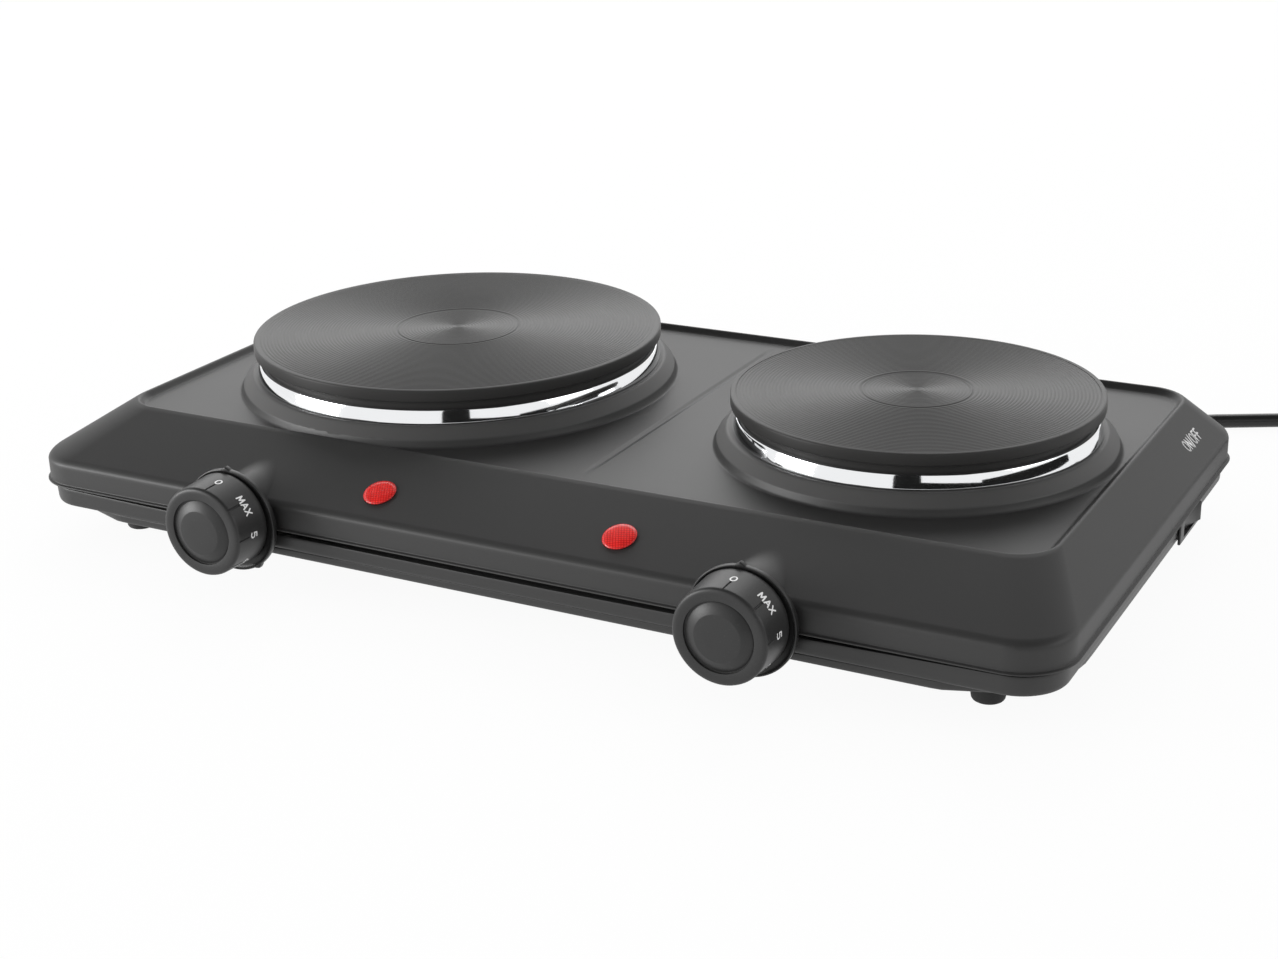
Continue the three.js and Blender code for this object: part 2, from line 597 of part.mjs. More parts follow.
for (const { name, way } of sides) {
  const x = dialX(way);
  const place = addGroup(x, 0, dialHeight, Math.PI / 2);
  const screwAt = [-1, 1].map((end) => (end * thermostatScrewSpacing) / 2);

  const collar = turned([
    [shaftRadius + 1, -collarBack], [collarRadius, -collarBack],
    [collarRadius, collarDepth - collarBack],
    [collarRadius - collarRimWidth, collarDepth - collarBack],
    [collarRadius - collarRimWidth, collarFloor - collarBack],
    [shaftRadius + 1, collarFloor - collarBack],
  ], 28);
  const pointer = rod(collarPointerRadius, -collarBack, collarDepth - collarBack, 10)
    .translate(0, collarRadius, 0);
  addPiece(`${name}_dial_collar`, cut(
    join(collar, pointer),
    ...screwAt.map((sx) =>
      rod(thermostatScrewHeadRadius + clearance, 0, wholeDepth, 12).translate(sx, 0, 0)),
  ), blackPlastic, place);

  const dialCup = turned([
    [dialRadius, 0], [dialFrontRadius, dialLength - dialEdge],
    [dialFrontRadius - 0.3 * dialEdge, dialLength - 0.4 * dialEdge],
    [dialFrontRadius - dialEdge, dialLength], [dialGrooveRadius, dialLength],
    [dialGrooveRadius, dialLength - dialGrooveDepth],
    [dialGrooveRadius - dialGrooveWidth, dialLength - dialGrooveDepth],
    [dialGrooveRadius - dialGrooveWidth, dialLength - 0.1],
    [dialDiscRadius, dialLength - dialDishDepth],
    [0, dialLength - dialDishDepth], [0, boreDepth], [shaftRadius + clearance, boreDepth],
    [shaftRadius + clearance, 0.6], [dialHubRadius, 0.6], [dialHubRadius, boreDepth],
    [dialFrontRadius - dialWall, boreDepth], [dialRadius - dialWall, 0],
  ], 28);
  const flatMiddle = flatAt + clearance + shaftFlat / 2;
  const flat = box(2 * shaftRadius, shaftFlat, boreDepth - 1, 0, flatMiddle, boreDepth / 2 + 1);
  addPiece(`${name}_dial`, join(dialCup, flat).translate([0, 0, -dialBack]), dialPlastic, place);

  const shaft = rod(shaftRadius, -shaftBack, boreDepth - clearance - dialBack, 16);
  const flatCut = box(
    4 * shaftRadius, 2 * shaftFlat, 2 * boreDepth, 0, flatAt + shaftFlat, boreDepth - dialBack);
  addPiece(`${name}_dial_shaft`, cut(shaft, flatCut), zincSteel, place);

  const plate = box(thermostatWidth + 4, thermostatPlateThickness, thermostatPlateHeight,
    x, plateBackY - thermostatPlateThickness / 2, dialHeight);
  const neck = box(thermostatWidth / 2, thermostatNeck + 2, thermostatPlateHeight - 0.4,
    x, plateBackY + thermostatNeck / 2, dialHeight);
  const body = box(thermostatWidth, thermostatDepth, thermostatHeight,
    x, thermostatFront + thermostatDepth / 2, dialHeight - 2);
  addPiece(`${name}_thermostat`, cut(
    join(plate, neck, body),
    alongY(rod(shaftRadius + clearance, -shaftBack - clearance, wholeDepth, 16), x, 0, dialHeight),
    ...screwAt.map((sx) => alongY(
      rod(thermostatScrewRadius + clearance, -thermostatFront, wholeDepth, 12),
      x + sx, 0, dialHeight)),
  ), ceramic);

  screwAt.forEach((sx, i) => {
    const seat = dialBossProud + clearance - bodyFront;
    addPiece(`${name}_thermostat_screw_${i + 1}`, turned([
      [0, -plateBackY - 1], [thermostatScrewRadius, -plateBackY - 1], [thermostatScrewRadius, seat],
      [thermostatScrewHeadRadius, seat],
      [thermostatScrewHeadRadius - 0.6, seat + thermostatScrewHeadHeight],
      [0, seat + thermostatScrewHeadHeight],
    ], 12).translate(sx, 0, 0), zincSteel, place);
  });

  // Indicator lamp: a low red dome with its stem through the slope, and the neon holder behind it
  const lamp = addGroup(lampX(way), lampY, lampZ, slopeAngle);
  addPiece(`${name}_indicator_lens`, turned([
    [0, -lensStemLength], [lensStemRadius, -lensStemLength], [lensStemRadius, clearance],
    [lensRadius, clearance], [lensRadius, 0.8], [lensRadius * 0.86, 0.3 + lensHeight * 0.55],
    [lensRadius * 0.55, lensHeight * 0.92],
    [0, clearance + lensHeight],
  ], 20), redLens, lamp);
  addPiece(`${name}_indicator_holder`,
    rod(lensStemRadius, -lensStemLength - clearance - holderLength, -lensStemLength - clearance, 12),
    blackPlastic, lamp);
}

// ---- Rocker switch in the right wall of the tray ----
const rockerPivotX = switchX + switchFlangeThickness + rockerProud - rockerDepth / 2 - 1.2;
const rockerSweep = Math.hypot(rockerLength / 2, rockerDepth / 2) + clearance;
const pocketDepth = rockerSweep + clearance;
const housing = join(
  box(switchFlangeThickness, switchFlangeLength, switchFlangeHeight,
    switchX + switchFlangeThickness / 2, switchY, switchZ),
  box(switchBodyDepth, switchBodyLength, switchBodyHeight,
    switchX - switchBodyDepth / 2, switchY, switchZ),
);
addPiece('switch_housing', cut(
  housing,
  box(2 * rockerDepth + 4, 2 * rockerSweep, rockerHeight + 2 * clearance, switchX, switchY, switchZ),
  rod(rockerPinRadius + clearance, switchZ - rockerHeight, switchZ + rockerHeight, 12)
    .translate(rockerPivotX, switchY, 0),
), blackPlastic);
const half = rockerLength / 2;
const level = rockerDepth / 2;
const rockerOutline = [
  [-level, -half], [level, -half], [level - 1.4, 0], [level, half], [-level, half],
];
addPiece('switch_rocker', cut(
  prism(rockerOutline, rockerHeight).translate(0, 0, -rockerHeight / 2),
  rod(rockerPinRadius + clearance, -rockerHeight, rockerHeight, 12),
).rotate([0, 0, -rockerTilt]).translate([rockerPivotX, switchY, switchZ]), blackPlastic);
addPiece('switch_pin', rod(rockerPinRadius, -rockerHeight / 2 - 1, rockerHeight / 2 + 1, 12)
  .translate(rockerPivotX, switchY, switchZ), zincSteel);

// ---- Where the lead comes in ----
const reliefFace = trayWallBack + clearance;
const reliefTip = reliefFace + reliefLength;
const reliefInside = bodyBack - trayEdge - trayEdgeRounding - trayWall - clearance;
addPiece('strain_relief', alongY(turned([
  [cordRadius + clearance, -reliefTip], [reliefTipRadius, -reliefTip],
  [reliefNeckRadius + 0.4, -reliefFace - reliefFlangeThickness],
  [reliefFlangeRadius, -reliefFace - reliefFlangeThickness],
  [reliefFlangeRadius, -reliefFace], [reliefNeckRadius, -reliefFace],
  [reliefNeckRadius, -reliefInside], [reliefFlangeRadius, -reliefInside],
  [reliefFlangeRadius, reliefFlangeThickness - reliefInside],
  [cordRadius + clearance, reliefFlangeThickness - reliefInside],
], 14), cordExitX, 0, cordExitHeight), rubber);

const terminalY = bodyBack - terminalInset;
const terminalZ = floorTop + clearance + terminalHeight / 2;
addPiece('terminal_block',
  box(terminalLength, terminalDepth, terminalHeight, cordExitX, terminalY, terminalZ), ceramic);
const cordStart = reliefTip - reliefGrip;
addPiece('supply_lead', alongY(
  rod(cordRadius, clearance - cordStart, -terminalY - terminalDepth / 2 - clearance, 10),
  cordExitX, 0, cordExitHeight,
), rubber);

// ---- Wires inside ----
const thermostatBackY = thermostatFront + thermostatDepth + clearance;
const terminalFrontY = terminalY - terminalDepth / 2 - clearance;
const switchBack = switchX - switchBodyDepth - clearance;
const low = floorTop + wireLift;
const between = (a, b, share) => a.map((value, i) => value + (b[i] - value) * share);
function wireTo(start, startWay, end, endWay) {
  const first = start.map((value, i) => value + startWay[i]);
  const last = end.map((value, i) => value + endWay[i]);
  const middle = [0.25, 0.5, 0.75].map((share) => between(first, last, share));
  const lifted = middle.map(([x, y, z]) => [x, y, Math.max(z - wireLift / 2, low)]);
  return [start, first, ...lifted, last, end];
}
const terminalEnd = (side) => [cordExitX + side * wireSpread, terminalFrontY, terminalZ];
const switchEnd = (side) => [switchBack, switchY + (side * wireSpread) / 2, switchZ];
const thermostatEnd = (way, side) =>
  [dialX(way) + side * wireSpread, thermostatBackY, dialHeight - wireSpread / 2];
const ceramicEnd = (x) => [x - wireSpread / 2, plateY + ceramicY, clampTop - ceramicHeight - clearance];
const [forward, backward] = [[0, -wireReach / 2, 0], [0, wireReach, 0]];
const wires = {
  switch_wire: [
    terminalEnd(1), terminalEnd(1).map((v, i) => v + forward[i] / 2),
    switchEnd(1).map((v, i) => (i ? v : v - wireReach / 2)), switchEnd(1),
  ],
  right_supply_wire: wireTo(switchEnd(-1), [-wireReach / 2, 0, 0], thermostatEnd(1, 1), backward),
  left_supply_wire: wireTo(terminalEnd(-1), forward, thermostatEnd(-1, 1), backward),
  big_plate_wire: wireTo(
    thermostatEnd(-1, -1), backward, ceramicEnd(bigPlateX), [0, 0, -wireReach / 2]),
  small_plate_wire: wireTo(
    thermostatEnd(1, -1), backward, ceramicEnd(smallPlateX), [0, 0, -wireReach / 2]),
};
for (const [name, points] of Object.entries(wires)) {
  addPiece(name, tube(points, wireRadius, 6, 16), wireSleeve);
}

// ---- Mains lead on the table, its wound part and its plug ----
const onTable = cordRadius + clearance / 3;
const outerTurn = coilRadius + (coilColumns - 1) * cordRadius;
const coilInner = coilRadius - coilColumns * cordRadius;
const coilOuter = coilRadius + coilColumns * cordRadius;
// The lead's line past the relief's tip, at a distance along it: straight, then a bend, then straight.
const bendEnd = THREE.MathUtils.degToRad(leadBendAngle);
function leadAt(distance) {
  const turn = Math.min(Math.max((distance - leadStraight) / leadBendRadius, 0), bendEnd);
  const before = Math.min(distance, leadStraight);
  const after = Math.max(distance - leadStraight - leadBendRadius * bendEnd, 0);
  const drop = Math.min(Math.max(distance / leadDropLength, 0), 1);
  const lowered = drop < 0.5 ? 2 * drop ** 2 : 1 - 2 * (1 - drop) ** 2;
  return [
    cordExitX + leadBendRadius * (1 - Math.cos(turn)) + after * Math.sin(bendEnd),
    reliefTip + before + leadBendRadius * Math.sin(turn) + after * Math.cos(bendEnd),
    cordExitHeight + (onTable - cordExitHeight) * lowered,
  ];
}
const leadTouch = leadStraight + leadBendRadius * bendEnd + leadTableRun;
const [touchX, touchY] = leadAt(leadTouch);
const coilX = touchX + outerTurn * Math.cos(bendEnd);
const coilY = touchY - outerTurn * Math.sin(bendEnd);
// A straight end of lead stops at this distance before it would run into the wound part.
const endDistance = Math.sqrt((coilOuter + clearance) ** 2 - (outerTurn - cordRadius) ** 2);
const leadEnd = leadTouch - endDistance;
const leadSteps = Array.from({ length: 15 }, (_, i) => leadAt((leadEnd * i) / 14));
addPiece('power_cord', tube([leadAt(-reliefGrip), ...leadSteps], cordRadius, 8, 28), rubber);

addPiece('cord_coil', turned([
  [coilInner, 0], [coilOuter, 0], [coilOuter, 2 * coilLayers * cordRadius],
  [coilInner, 2 * coilLayers * cordRadius],
], 32).translate(coilX, coilY, 0), rubber);

const plugX = coilX + outerTurn;
const tailStart = coilY - endDistance;
const tailEnd = tailStart - tailLength;
const alongTail = (share, height) => [plugX, tailStart + (tailEnd - tailStart) * share, height];
const topTurn = (2 * coilLayers - 1) * cordRadius;
const tailRise = [0, 0.04, 0.17, 0.46, 0.77, 0.97, 1];
const tailPoints = tailRise.map((rise, i) =>
  alongTail(i / (tailRise.length - 1), topTurn + (plugRadius - topTurn) * rise));
addPiece('cord_tail', tube(tailPoints, cordRadius, 8, 12), rubber);
const plug = addGroup(plugX, tailEnd - clearance, plugRadius, Math.PI / 2);
const plugFace = plugNeckLength + plugTaperLength + plugFaceLength;
addPiece('plug_body', cut(
  turned([
    [0, 0], [plugNeckRadius - 1, 0], [plugNeckRadius, plugNeckLength],
    [plugRadius * 0.62, plugNeckLength + plugTaperLength * 0.35],
    [plugRadius - 1, plugFace - plugFaceLength], [plugRadius, plugFace - plugFaceLength + 2],
    [plugRadius, plugFace - 1],
    [plugRadius - 1, plugFace], [0, plugFace],
  ], 28),
  ...[-1, 1].map((end) => rod(pinRadius + clearance, plugFace - pinSocket, plugFace + 1, 12)
    .translate((end * pinSpacing) / 2, 0, 0)),
), blackPlastic, plug);
[-1, 1].forEach((end, i) => addPiece(`plug_pin_${i + 1}`, turned([
  [0, plugFace - pinSocket + clearance], [pinRadius, plugFace - pinSocket + clearance],
  [pinRadius, plugFace + pinLength - 1.4], [pinRadius - 1, plugFace + pinLength],
  [0, plugFace + pinLength],
], 12).translate((end * pinSpacing) / 2, 0, 0), brass, plug));

export default model;
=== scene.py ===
# %% [markdown]
# # A double electric hot plate
#
# The object is a free-standing cooker with two cast-iron plates: a large one at the left, a small one
# at the right, two dials with red lamps in front, and a rocker switch with a mains lead behind.
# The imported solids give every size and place. This lesson builds the finished surfaces round them, in
# metres, in the same frame: X to the right end, Y to the back, Z up from the table.

# %% Load the frame and keep its box
import math

import bmesh
import bpy
import numpy as np
from mathutils import Matrix, Vector
from mathutils.geometry import delaunay_2d_cdt


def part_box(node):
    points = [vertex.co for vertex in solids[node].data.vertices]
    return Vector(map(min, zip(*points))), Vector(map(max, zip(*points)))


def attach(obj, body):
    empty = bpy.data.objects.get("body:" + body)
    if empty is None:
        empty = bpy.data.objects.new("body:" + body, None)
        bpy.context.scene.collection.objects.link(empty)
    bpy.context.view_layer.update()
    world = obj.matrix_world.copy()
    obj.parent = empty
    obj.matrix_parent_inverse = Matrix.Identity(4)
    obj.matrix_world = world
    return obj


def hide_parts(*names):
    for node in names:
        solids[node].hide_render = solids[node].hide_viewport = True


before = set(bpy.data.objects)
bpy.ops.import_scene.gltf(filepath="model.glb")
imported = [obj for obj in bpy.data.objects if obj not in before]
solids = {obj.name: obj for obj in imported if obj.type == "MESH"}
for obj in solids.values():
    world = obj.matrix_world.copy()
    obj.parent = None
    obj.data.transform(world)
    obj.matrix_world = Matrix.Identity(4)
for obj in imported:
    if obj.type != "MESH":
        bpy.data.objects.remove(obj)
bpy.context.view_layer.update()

# %% [markdown]
# ## Stage, camera and light
#
# A cooker like this is sold on a plain white ground. The camera looks down on the front right corner
# with a short telephoto lens, so that the far plate looks only a little smaller than the near one.

# %% Camera
MM = 0.001
FULL_TURN = 2 * math.pi


def linked(name, data):
    """A new object of the scene that carries this mesh, curve, light or camera."""
    made = bpy.data.objects.new(name, data)
    bpy.context.scene.collection.objects.link(made)
    return made


def mesh_of(name, points, faces):
    mesh = bpy.data.meshes.new(name)
    mesh.from_pydata(np.asarray(points, float).tolist(), [], [list(map(int, f)) for f in faces])
    return mesh


lens = bpy.data.cameras.new("lens")
lens.sensor_width = 36.0
lens.lens = 58.444
lens.clip_start = 0.01
camera = linked("camera", lens)
camera.location = (0.4190, -0.7445, 0.3528)
camera.rotation_euler = [math.radians(a) for a in (68.9008, 1.5088, 28.2389)]
bpy.context.scene.camera = camera
bpy.context.scene.view_settings.view_transform = "Standard"

# %% [markdown]
# ## Arithmetic with shader sockets
#
# A material's pattern is a small calculation. Written as nodes it is hard to read, so one class wraps
# a socket and gives it the usual operators: `0.4 + 0.2 * grain` then adds the Math nodes by itself.
# One method, `add`, makes every other kind of node, in materials and in geometry trees.


# %% The socket class and the finish class
class Signal:
    """A value that a node tree works out, as an output socket of one of its nodes."""

    def __init__(self, wiring, socket):
        self.wiring = wiring
        self.socket = socket

    def do(self, operation, *others):
        values = dict(enumerate((self, *others)))
        return self.wiring.add("ShaderNodeMath", {"operation": operation}, values)

    def __add__(self, other):
        return self.do("ADD", other)

    def __sub__(self, other):
        return self.do("SUBTRACT", other)

    def __mul__(self, other):
        return self.do("MULTIPLY", other)

    def __pow__(self, other):
        return self.do("POWER", other)

    def __abs__(self):
        return self.do("ABSOLUTE")

    __radd__ = __add__
    __rmul__ = __mul__

    def wave(self, pitch):
        return (self * (FULL_TURN / pitch)).do("SINE")

    def clamped(self, low, high):
        return self.do("MAXIMUM", low).do("MINIMUM", high)

    def smooth(self, low, high):
        inputs = {"Value": self, "From Min": low, "From Max": high}
        return self.wiring.add("ShaderNodeMapRange", {"interpolation_type": "SMOOTHSTEP"}, inputs)


class Wiring:
    """A node tree under construction, of a material, the world or a recipe."""

    def __init__(self, tree):
        self.tree = tree
        tree.nodes.clear()

    def plug(self, socket, value):
        if isinstance(value, Signal):
            self.tree.links.new(value.socket, socket)
        elif isinstance(value, tuple) and len(value) == 3 and len(socket.default_value) == 4:
            socket.default_value = (*value, 1.0)
        else:
            socket.default_value = value

    def add(self, kind, settings=None, inputs=None, output=0):
        node = self.tree.nodes.new(kind)
        for key, value in (settings or {}).items():
            setattr(node, key, value)
        for key, value in (inputs or {}).items():
            self.plug(node.inputs[key], value)
        return Signal(self, node.outputs[output])

    def looked_at(self):
        """1 where the camera, a mirror or a glass looks, and 0 for light that a surface gathers."""
        rays = self.tree.nodes.new("ShaderNodeLightPath").outputs
        kinds = ("Is Camera Ray", "Is Glossy Ray", "Is Transmission Ray")
        eye, mirror, glass = [Signal(self, rays[kind]) for kind in kinds]
        return eye.do("MAXIMUM", mirror).do("MAXIMUM", glass)


class Finish(Wiring):
    """A material: its nodes, and the surface shader that they feed."""

    def __init__(self, name):
        self.material = bpy.data.materials.new(name)
        self.material.use_nodes = True
        super().__init__(self.material.node_tree)
        self.output = self.tree.nodes.new("ShaderNodeOutputMaterial")
        self.surface = self.tree.nodes.new("ShaderNodeBsdfPrincipled")
        self.plug(self.output.inputs["Surface"], self.lit())

    def lit(self):
        return Signal(self, self.surface.outputs[0])

    def set(self, **sockets):
        for key, value in sockets.items():
            self.plug(self.surface.inputs[key.replace("_", " ")], value)

    def place(self, centre=(0.0, 0.0, 0.0)):
        """Object coordinates, moved so that centre is the pattern's origin."""
        where = self.add("ShaderNodeTexCoord", output="Object")
        return self.add("ShaderNodeVectorMath", {"operation": "SUBTRACT"}, {0: where, 1: centre})

    def split(self, vector):
        return [self.add("ShaderNodeSeparateXYZ", inputs={0: vector}, output=axis) for axis in "XYZ"]

    def away_from(self, centre_x, centre_y):
        """The pattern's place and its distance from an upright axis."""
        where = self.place((centre_x, centre_y, 0.0))
        x, y = self.split(where)[:2]
        return where, (x * x + y * y) ** 0.5

    def noise(self, where, scale, detail=3.0, roughness=0.5):
        inputs = {"Vector": where, "Scale": scale, "Detail": detail, "Roughness": roughness}
        return self.add("ShaderNodeTexNoise", {"noise_dimensions": "3D"}, inputs)

    def blend(self, share, first, second):
        first_colour, second_colour, colour_out = 6, 7, 2
        inputs = {"Factor": share, first_colour: first, second_colour: second}
        return self.add("ShaderNodeMix", {"data_type": "RGBA"}, inputs, colour_out)

    def bump(self, height, distance, strength):
        inputs = {"Strength": strength, "Distance": distance, "Height": height}
        self.set(Normal=self.add("ShaderNodeBump", inputs=inputs))


def grey(level, warm=0.0):
    return (level * (1 + warm), level, level * (1 - warm))


print("the finish kit is ready")

# %% [markdown]
# ## Floor and world
#
# The floor and the world are white to the camera, so the ground reads as clean white, and the floor
# keeps a little of the object's shadow. As a light the world is softer than it looks. The rest of the
# light comes from three soft panels: a broad one behind, which the deck and the plates mirror, one low
# at the front left for the dials, and a weak one at the right.

# %% Floor and world
square = ((-1, -1), (1, -1), (1, 1), (-1, 1))
floor_reach, floor_z, floor_glow, world_light = 6.0, -0.0002, 0.94, 0.725
corners = [(floor_reach * x, floor_reach * y, floor_z) for x, y in square]
ground = linked("floor", mesh_of("floor", corners, [(0, 1, 2, 3)]))
look = Finish("floor_white")
look.set(Base_Color=grey(0.86), Roughness=0.66 + 0.08 * look.noise(look.place(), 3.0, 2.0))
glow = look.add("ShaderNodeEmission", inputs={"Color": grey(1.0), "Strength": 1.0})
white_share = {0: floor_glow * look.looked_at(), 1: look.lit(), 2: glow}
look.plug(look.output.inputs["Surface"], look.add("ShaderNodeMixShader", inputs=white_share))
ground.data.materials.append(look.material)

world = bpy.data.worlds.new("studio")
bpy.context.scene.world = world
world.use_nodes = True
sky = Wiring(world.node_tree)
levels = [{"Color": grey(1.0), "Strength": strength} for strength in (world_light, 1.0)]
light, white = [sky.add("ShaderNodeBackground", inputs=level) for level in levels]
mixed = sky.add("ShaderNodeMixShader", inputs={0: sky.looked_at(), 1: light, 2: white})
sky.plug(sky.tree.nodes.new("ShaderNodeOutputWorld").inputs["Surface"], mixed)


# %% Soft panels
def panel(name, place, aim, size, power):
    light = bpy.data.lights.new(name, "AREA")
    light.shape = "RECTANGLE"
    light.size, light.size_y = size
    light.energy = power
    lamp = linked(name, light)
    lamp.location = place
    lamp.rotation_euler = (Vector(aim) - Vector(place)).to_track_quat("-Z", "Y").to_euler()


panel("panel_back", (-1.0, 2.0, 1.45), (0.0, 0.0, 0.05), (2.6, 1.8), 26)
panel("panel_left", (-1.5, -1.1, 0.42), (-0.1, -0.1, 0.03), (1.0, 0.8), 26)
panel("panel_right", (1.7, 0.2, 0.8), (0.1, 0.0, 0.05), (1.0, 0.8), 4)

# %% [markdown]
# Black paint shows what it reflects more than what it is. In a room that is white all over it turns
# milky, so a studio hangs dark cloths where the camera can't see them. One hangs overhead. A narrow one
# stands at the camera and a low one, in two lengths, runs round the right: they draw the black breaks
# on the chrome rings. Only reflections see them, so they cast no shade.


# %% Dark cloths
def cloth(name, corners, level):
    hung = linked(name, mesh_of(name, corners, [(0, 1, 2, 3)]))
    look = Finish(name)
    tone = look.blend(look.noise(look.place(), 40.0, 2.0), grey(level), grey(level * 1.3))
    look.set(Base_Color=tone, Roughness=0.9, Specular_IOR_Level=0.0)
    hung.data.materials.append(look.material)
    for kind in ("camera", "diffuse", "transmission", "shadow", "volume_scatter"):
        setattr(hung, "visible_" + kind, False)


def upright(name, start, end, top):
    cloth(name, [(*start, 0.0), (*end, 0.0), (*end, top), (*start, top)], 0.01)


cloth("cloth_overhead", [(-2.2, -1.6, 1.5), (2.2, -1.6, 1.5), (2.2, 1.0, 1.5), (-2.2, 1.0, 1.5)], 0.03)
upright("cloth_camera", (0.255, -0.82), (0.46, -0.71), 1.2)
upright("cloth_low_front", (0.42, -0.73), (1.35, -0.7), 0.2)
upright("cloth_low_right", (1.35, -0.7), (1.5, 0.85), 0.26)
print("camera, three soft panels and four cloths are set")

# %% [markdown]
# ## Helpers that make a finished piece
#
# Most pieces are turned or lofted, so two helpers cover them: `revolve` spins a profile of radius and
# height, and `piece` turns numpy points into a smooth mesh whose real edges stay crisp. Every piece
# keeps its place in its own mesh, with the object at the origin, because the frame's solids do too.


# %% piece and revolve
def smooth_with_edges(mesh, crisp):
    """Smooth faces, with an edge kept wherever two of them meet at more than crisp degrees."""
    work = bmesh.new()
    work.from_mesh(mesh)
    bmesh.ops.remove_doubles(work, verts=work.verts, dist=1e-7)
    limit = math.radians(crisp)
    for face in work.faces:
        face.smooth = True
    for edge in work.edges:
        edge.smooth = not (len(edge.link_faces) == 2 and edge.calc_face_angle() > limit)
    work.to_mesh(mesh)
    work.free()


def finished(name, mesh, material, body, stands_for=(), slot=None, crisp=40):
    mesh.validate()
    smooth_with_edges(mesh, crisp)
    made = linked(name, mesh)
    mesh.materials.clear()
    mesh.materials.append(material)
    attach(made, body)
    if stands_for:
        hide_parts(*stands_for)
    return made


def piece(name, points, faces, *rest):
    return finished(name, mesh_of(name, points, faces), *rest)


def revolve(profile, segments=None, clock=None):
    """Points and faces of a profile of (radius, height) in mm, anticlockwise round its material.

    It is spun about Z in even segments, or at the angles of clock, in degrees clockwise from +Y."""
    if clock is None:
        turns = np.linspace(0, FULL_TURN, segments, endpoint=False)
    else:
        turns = np.radians(90 - np.array(clock))
    count = len(turns)
    rows = []
    points = []
    for radius, height in [(r * MM, h * MM) for r, h in profile]:
        if radius < 1e-9:
            rows.append([len(points)] * count)
            points.append((0.0, 0.0, height))
        else:
            rows.append(list(range(len(points), len(points) + count)))
            points += [(radius * math.cos(t), radius * math.sin(t), height) for t in turns]
    faces = []
    for a, b in zip(rows, rows[1:] + rows[:1]):
        for k in range(count):
            m = (k + 1) % count
            loop = [a[k], a[m], b[m], b[k]]
            corners = [v for j, v in enumerate(loop) if v != loop[j - 1]]
            if len(corners) >= 3:
                faces.append(corners if clock is None else corners[::-1])
    return np.array(points), faces


def strips(starts, count, flip=False):
    """Quads between rows of count points, each row closed and numbered from its own start."""
    faces = []
    for a, b in zip(starts, starts[1:]):
        for k in range(count):
            m = (k + 1) % count
            loop = (a + k, a + m, b + m, b + k)
            faces.append((loop[0], *loop[:0:-1]) if flip else loop)
    return faces


def facing_front(points, centre):
    """Turns +Z to the front, -Y, so a lathe shape points at the cook, and puts it at centre."""
    return points[:, (0, 2, 1)] * (1, -1, 1) + centre


def facing_back(points, centre):
    return points[:, (0, 2, 1)] * (1, 1, -1) + centre


def at_height(line, z):
    return np.column_stack([line, np.full(len(line), z)])


def centre_of(node):
    low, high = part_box(node)
    return [(a + b) / 2 for a, b in zip(low, high)]


def eased(value, low=0.0, high=1.0):
    """0 up to low and 1 from high on, with a smooth rise between them."""
    share = np.clip((value - low) / (high - low), 0, 1)
    return share * share * (3 - 2 * share)


# %% Modifiers, cutters and bricks
def baked(thing):
    """A plain mesh of what a curve or a modifier makes."""
    bpy.context.view_layer.update()
    whole = thing.evaluated_get(bpy.context.evaluated_depsgraph_get())
    return bpy.data.meshes.new_from_object(whole)


def applied(thing):
    mesh = baked(thing)
    thing.modifiers.clear()
    thing.data = mesh
    return mesh


def cut_from(thing, points, faces):
    tool = linked("cutter", mesh_of("cutter", points, faces))
    hole = thing.modifiers.new("hole", "BOOLEAN")
    hole.operation = "DIFFERENCE"
    hole.solver = "FAST"
    hole.object = tool
    applied(thing)
    # An object goes with its mesh.
    bpy.data.meshes.remove(tool.data)


def brick(low, high):
    xs, ys, zs = zip(low, high)
    points = [(x, y, z) for z in zs for y in ys for x in xs]
    faces = [(0, 2, 3, 1), (4, 5, 7, 6), (0, 1, 5, 4), (2, 6, 7, 3), (0, 4, 6, 2), (1, 3, 7, 5)]
    return points, faces


print("helpers for pieces are ready")

# %% [markdown]
# ## The mains lead
#
# A stiff PVC lead leaves the strain relief at the back, drops to the table, bends to the right and ends
# in a neat coil with its plug beside it. It is one curve with a round bevel, so its length can be
# measured. It comes first, because the room that it takes decides where its solids lie.

# %% The lead's line
relief_low, relief_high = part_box("strain_relief")
exit_x, _, exit_z = centre_of("strain_relief")
coil_x, coil_y, _ = centre_of("cord_coil")
relief_tip = relief_high[1]
lead_radius, on_table = 3.4 * MM, 3.5 * MM
straight, bend_radius, drop_length, run_in = 37.3 * MM, 33.5 * MM, 58 * MM, 88.5 * MM
bend_degrees = 63.2
bend_angle = math.radians(bend_degrees)
outer_turn, inner_turn = 39.4 * MM, 32.6 * MM
low_turn, high_turn = 3.4 * MM, 10.2 * MM


def lead_at(distance):
    """A point of the free part, at this distance from the tip of the relief."""
    turn = min(max((distance - straight) / bend_radius, 0.0), bend_angle)
    before = min(distance, straight)
    after = max(distance - straight - bend_radius * bend_angle, 0.0)
    drop = min(max(distance / drop_length, 0.0), 1.0)
    lowered = 2 * drop**2 if drop < 0.5 else 1 - 2 * (1 - drop) ** 2
    x = exit_x + bend_radius * (1 - math.cos(turn)) + after * math.sin(bend_angle)
    y = relief_tip + before + bend_radius * math.sin(turn) + after * math.cos(bend_angle)
    return (x, y, exit_z + (on_table - exit_z) * lowered)


def coil_at(turned):
    """A point of the wound part, at this many degrees past where the lead meets it."""
    inwards = eased(turned, 255, 355) - eased(turned, 945, 1045)
    radius = outer_turn + (inner_turn - outer_turn) * inwards
    angle = math.radians(180 - bend_degrees - turned)
    height = low_turn + (high_turn - low_turn) * eased(turned, 600, 690)
    return (coil_x + radius * math.cos(angle), coil_y + radius * math.sin(angle), height)


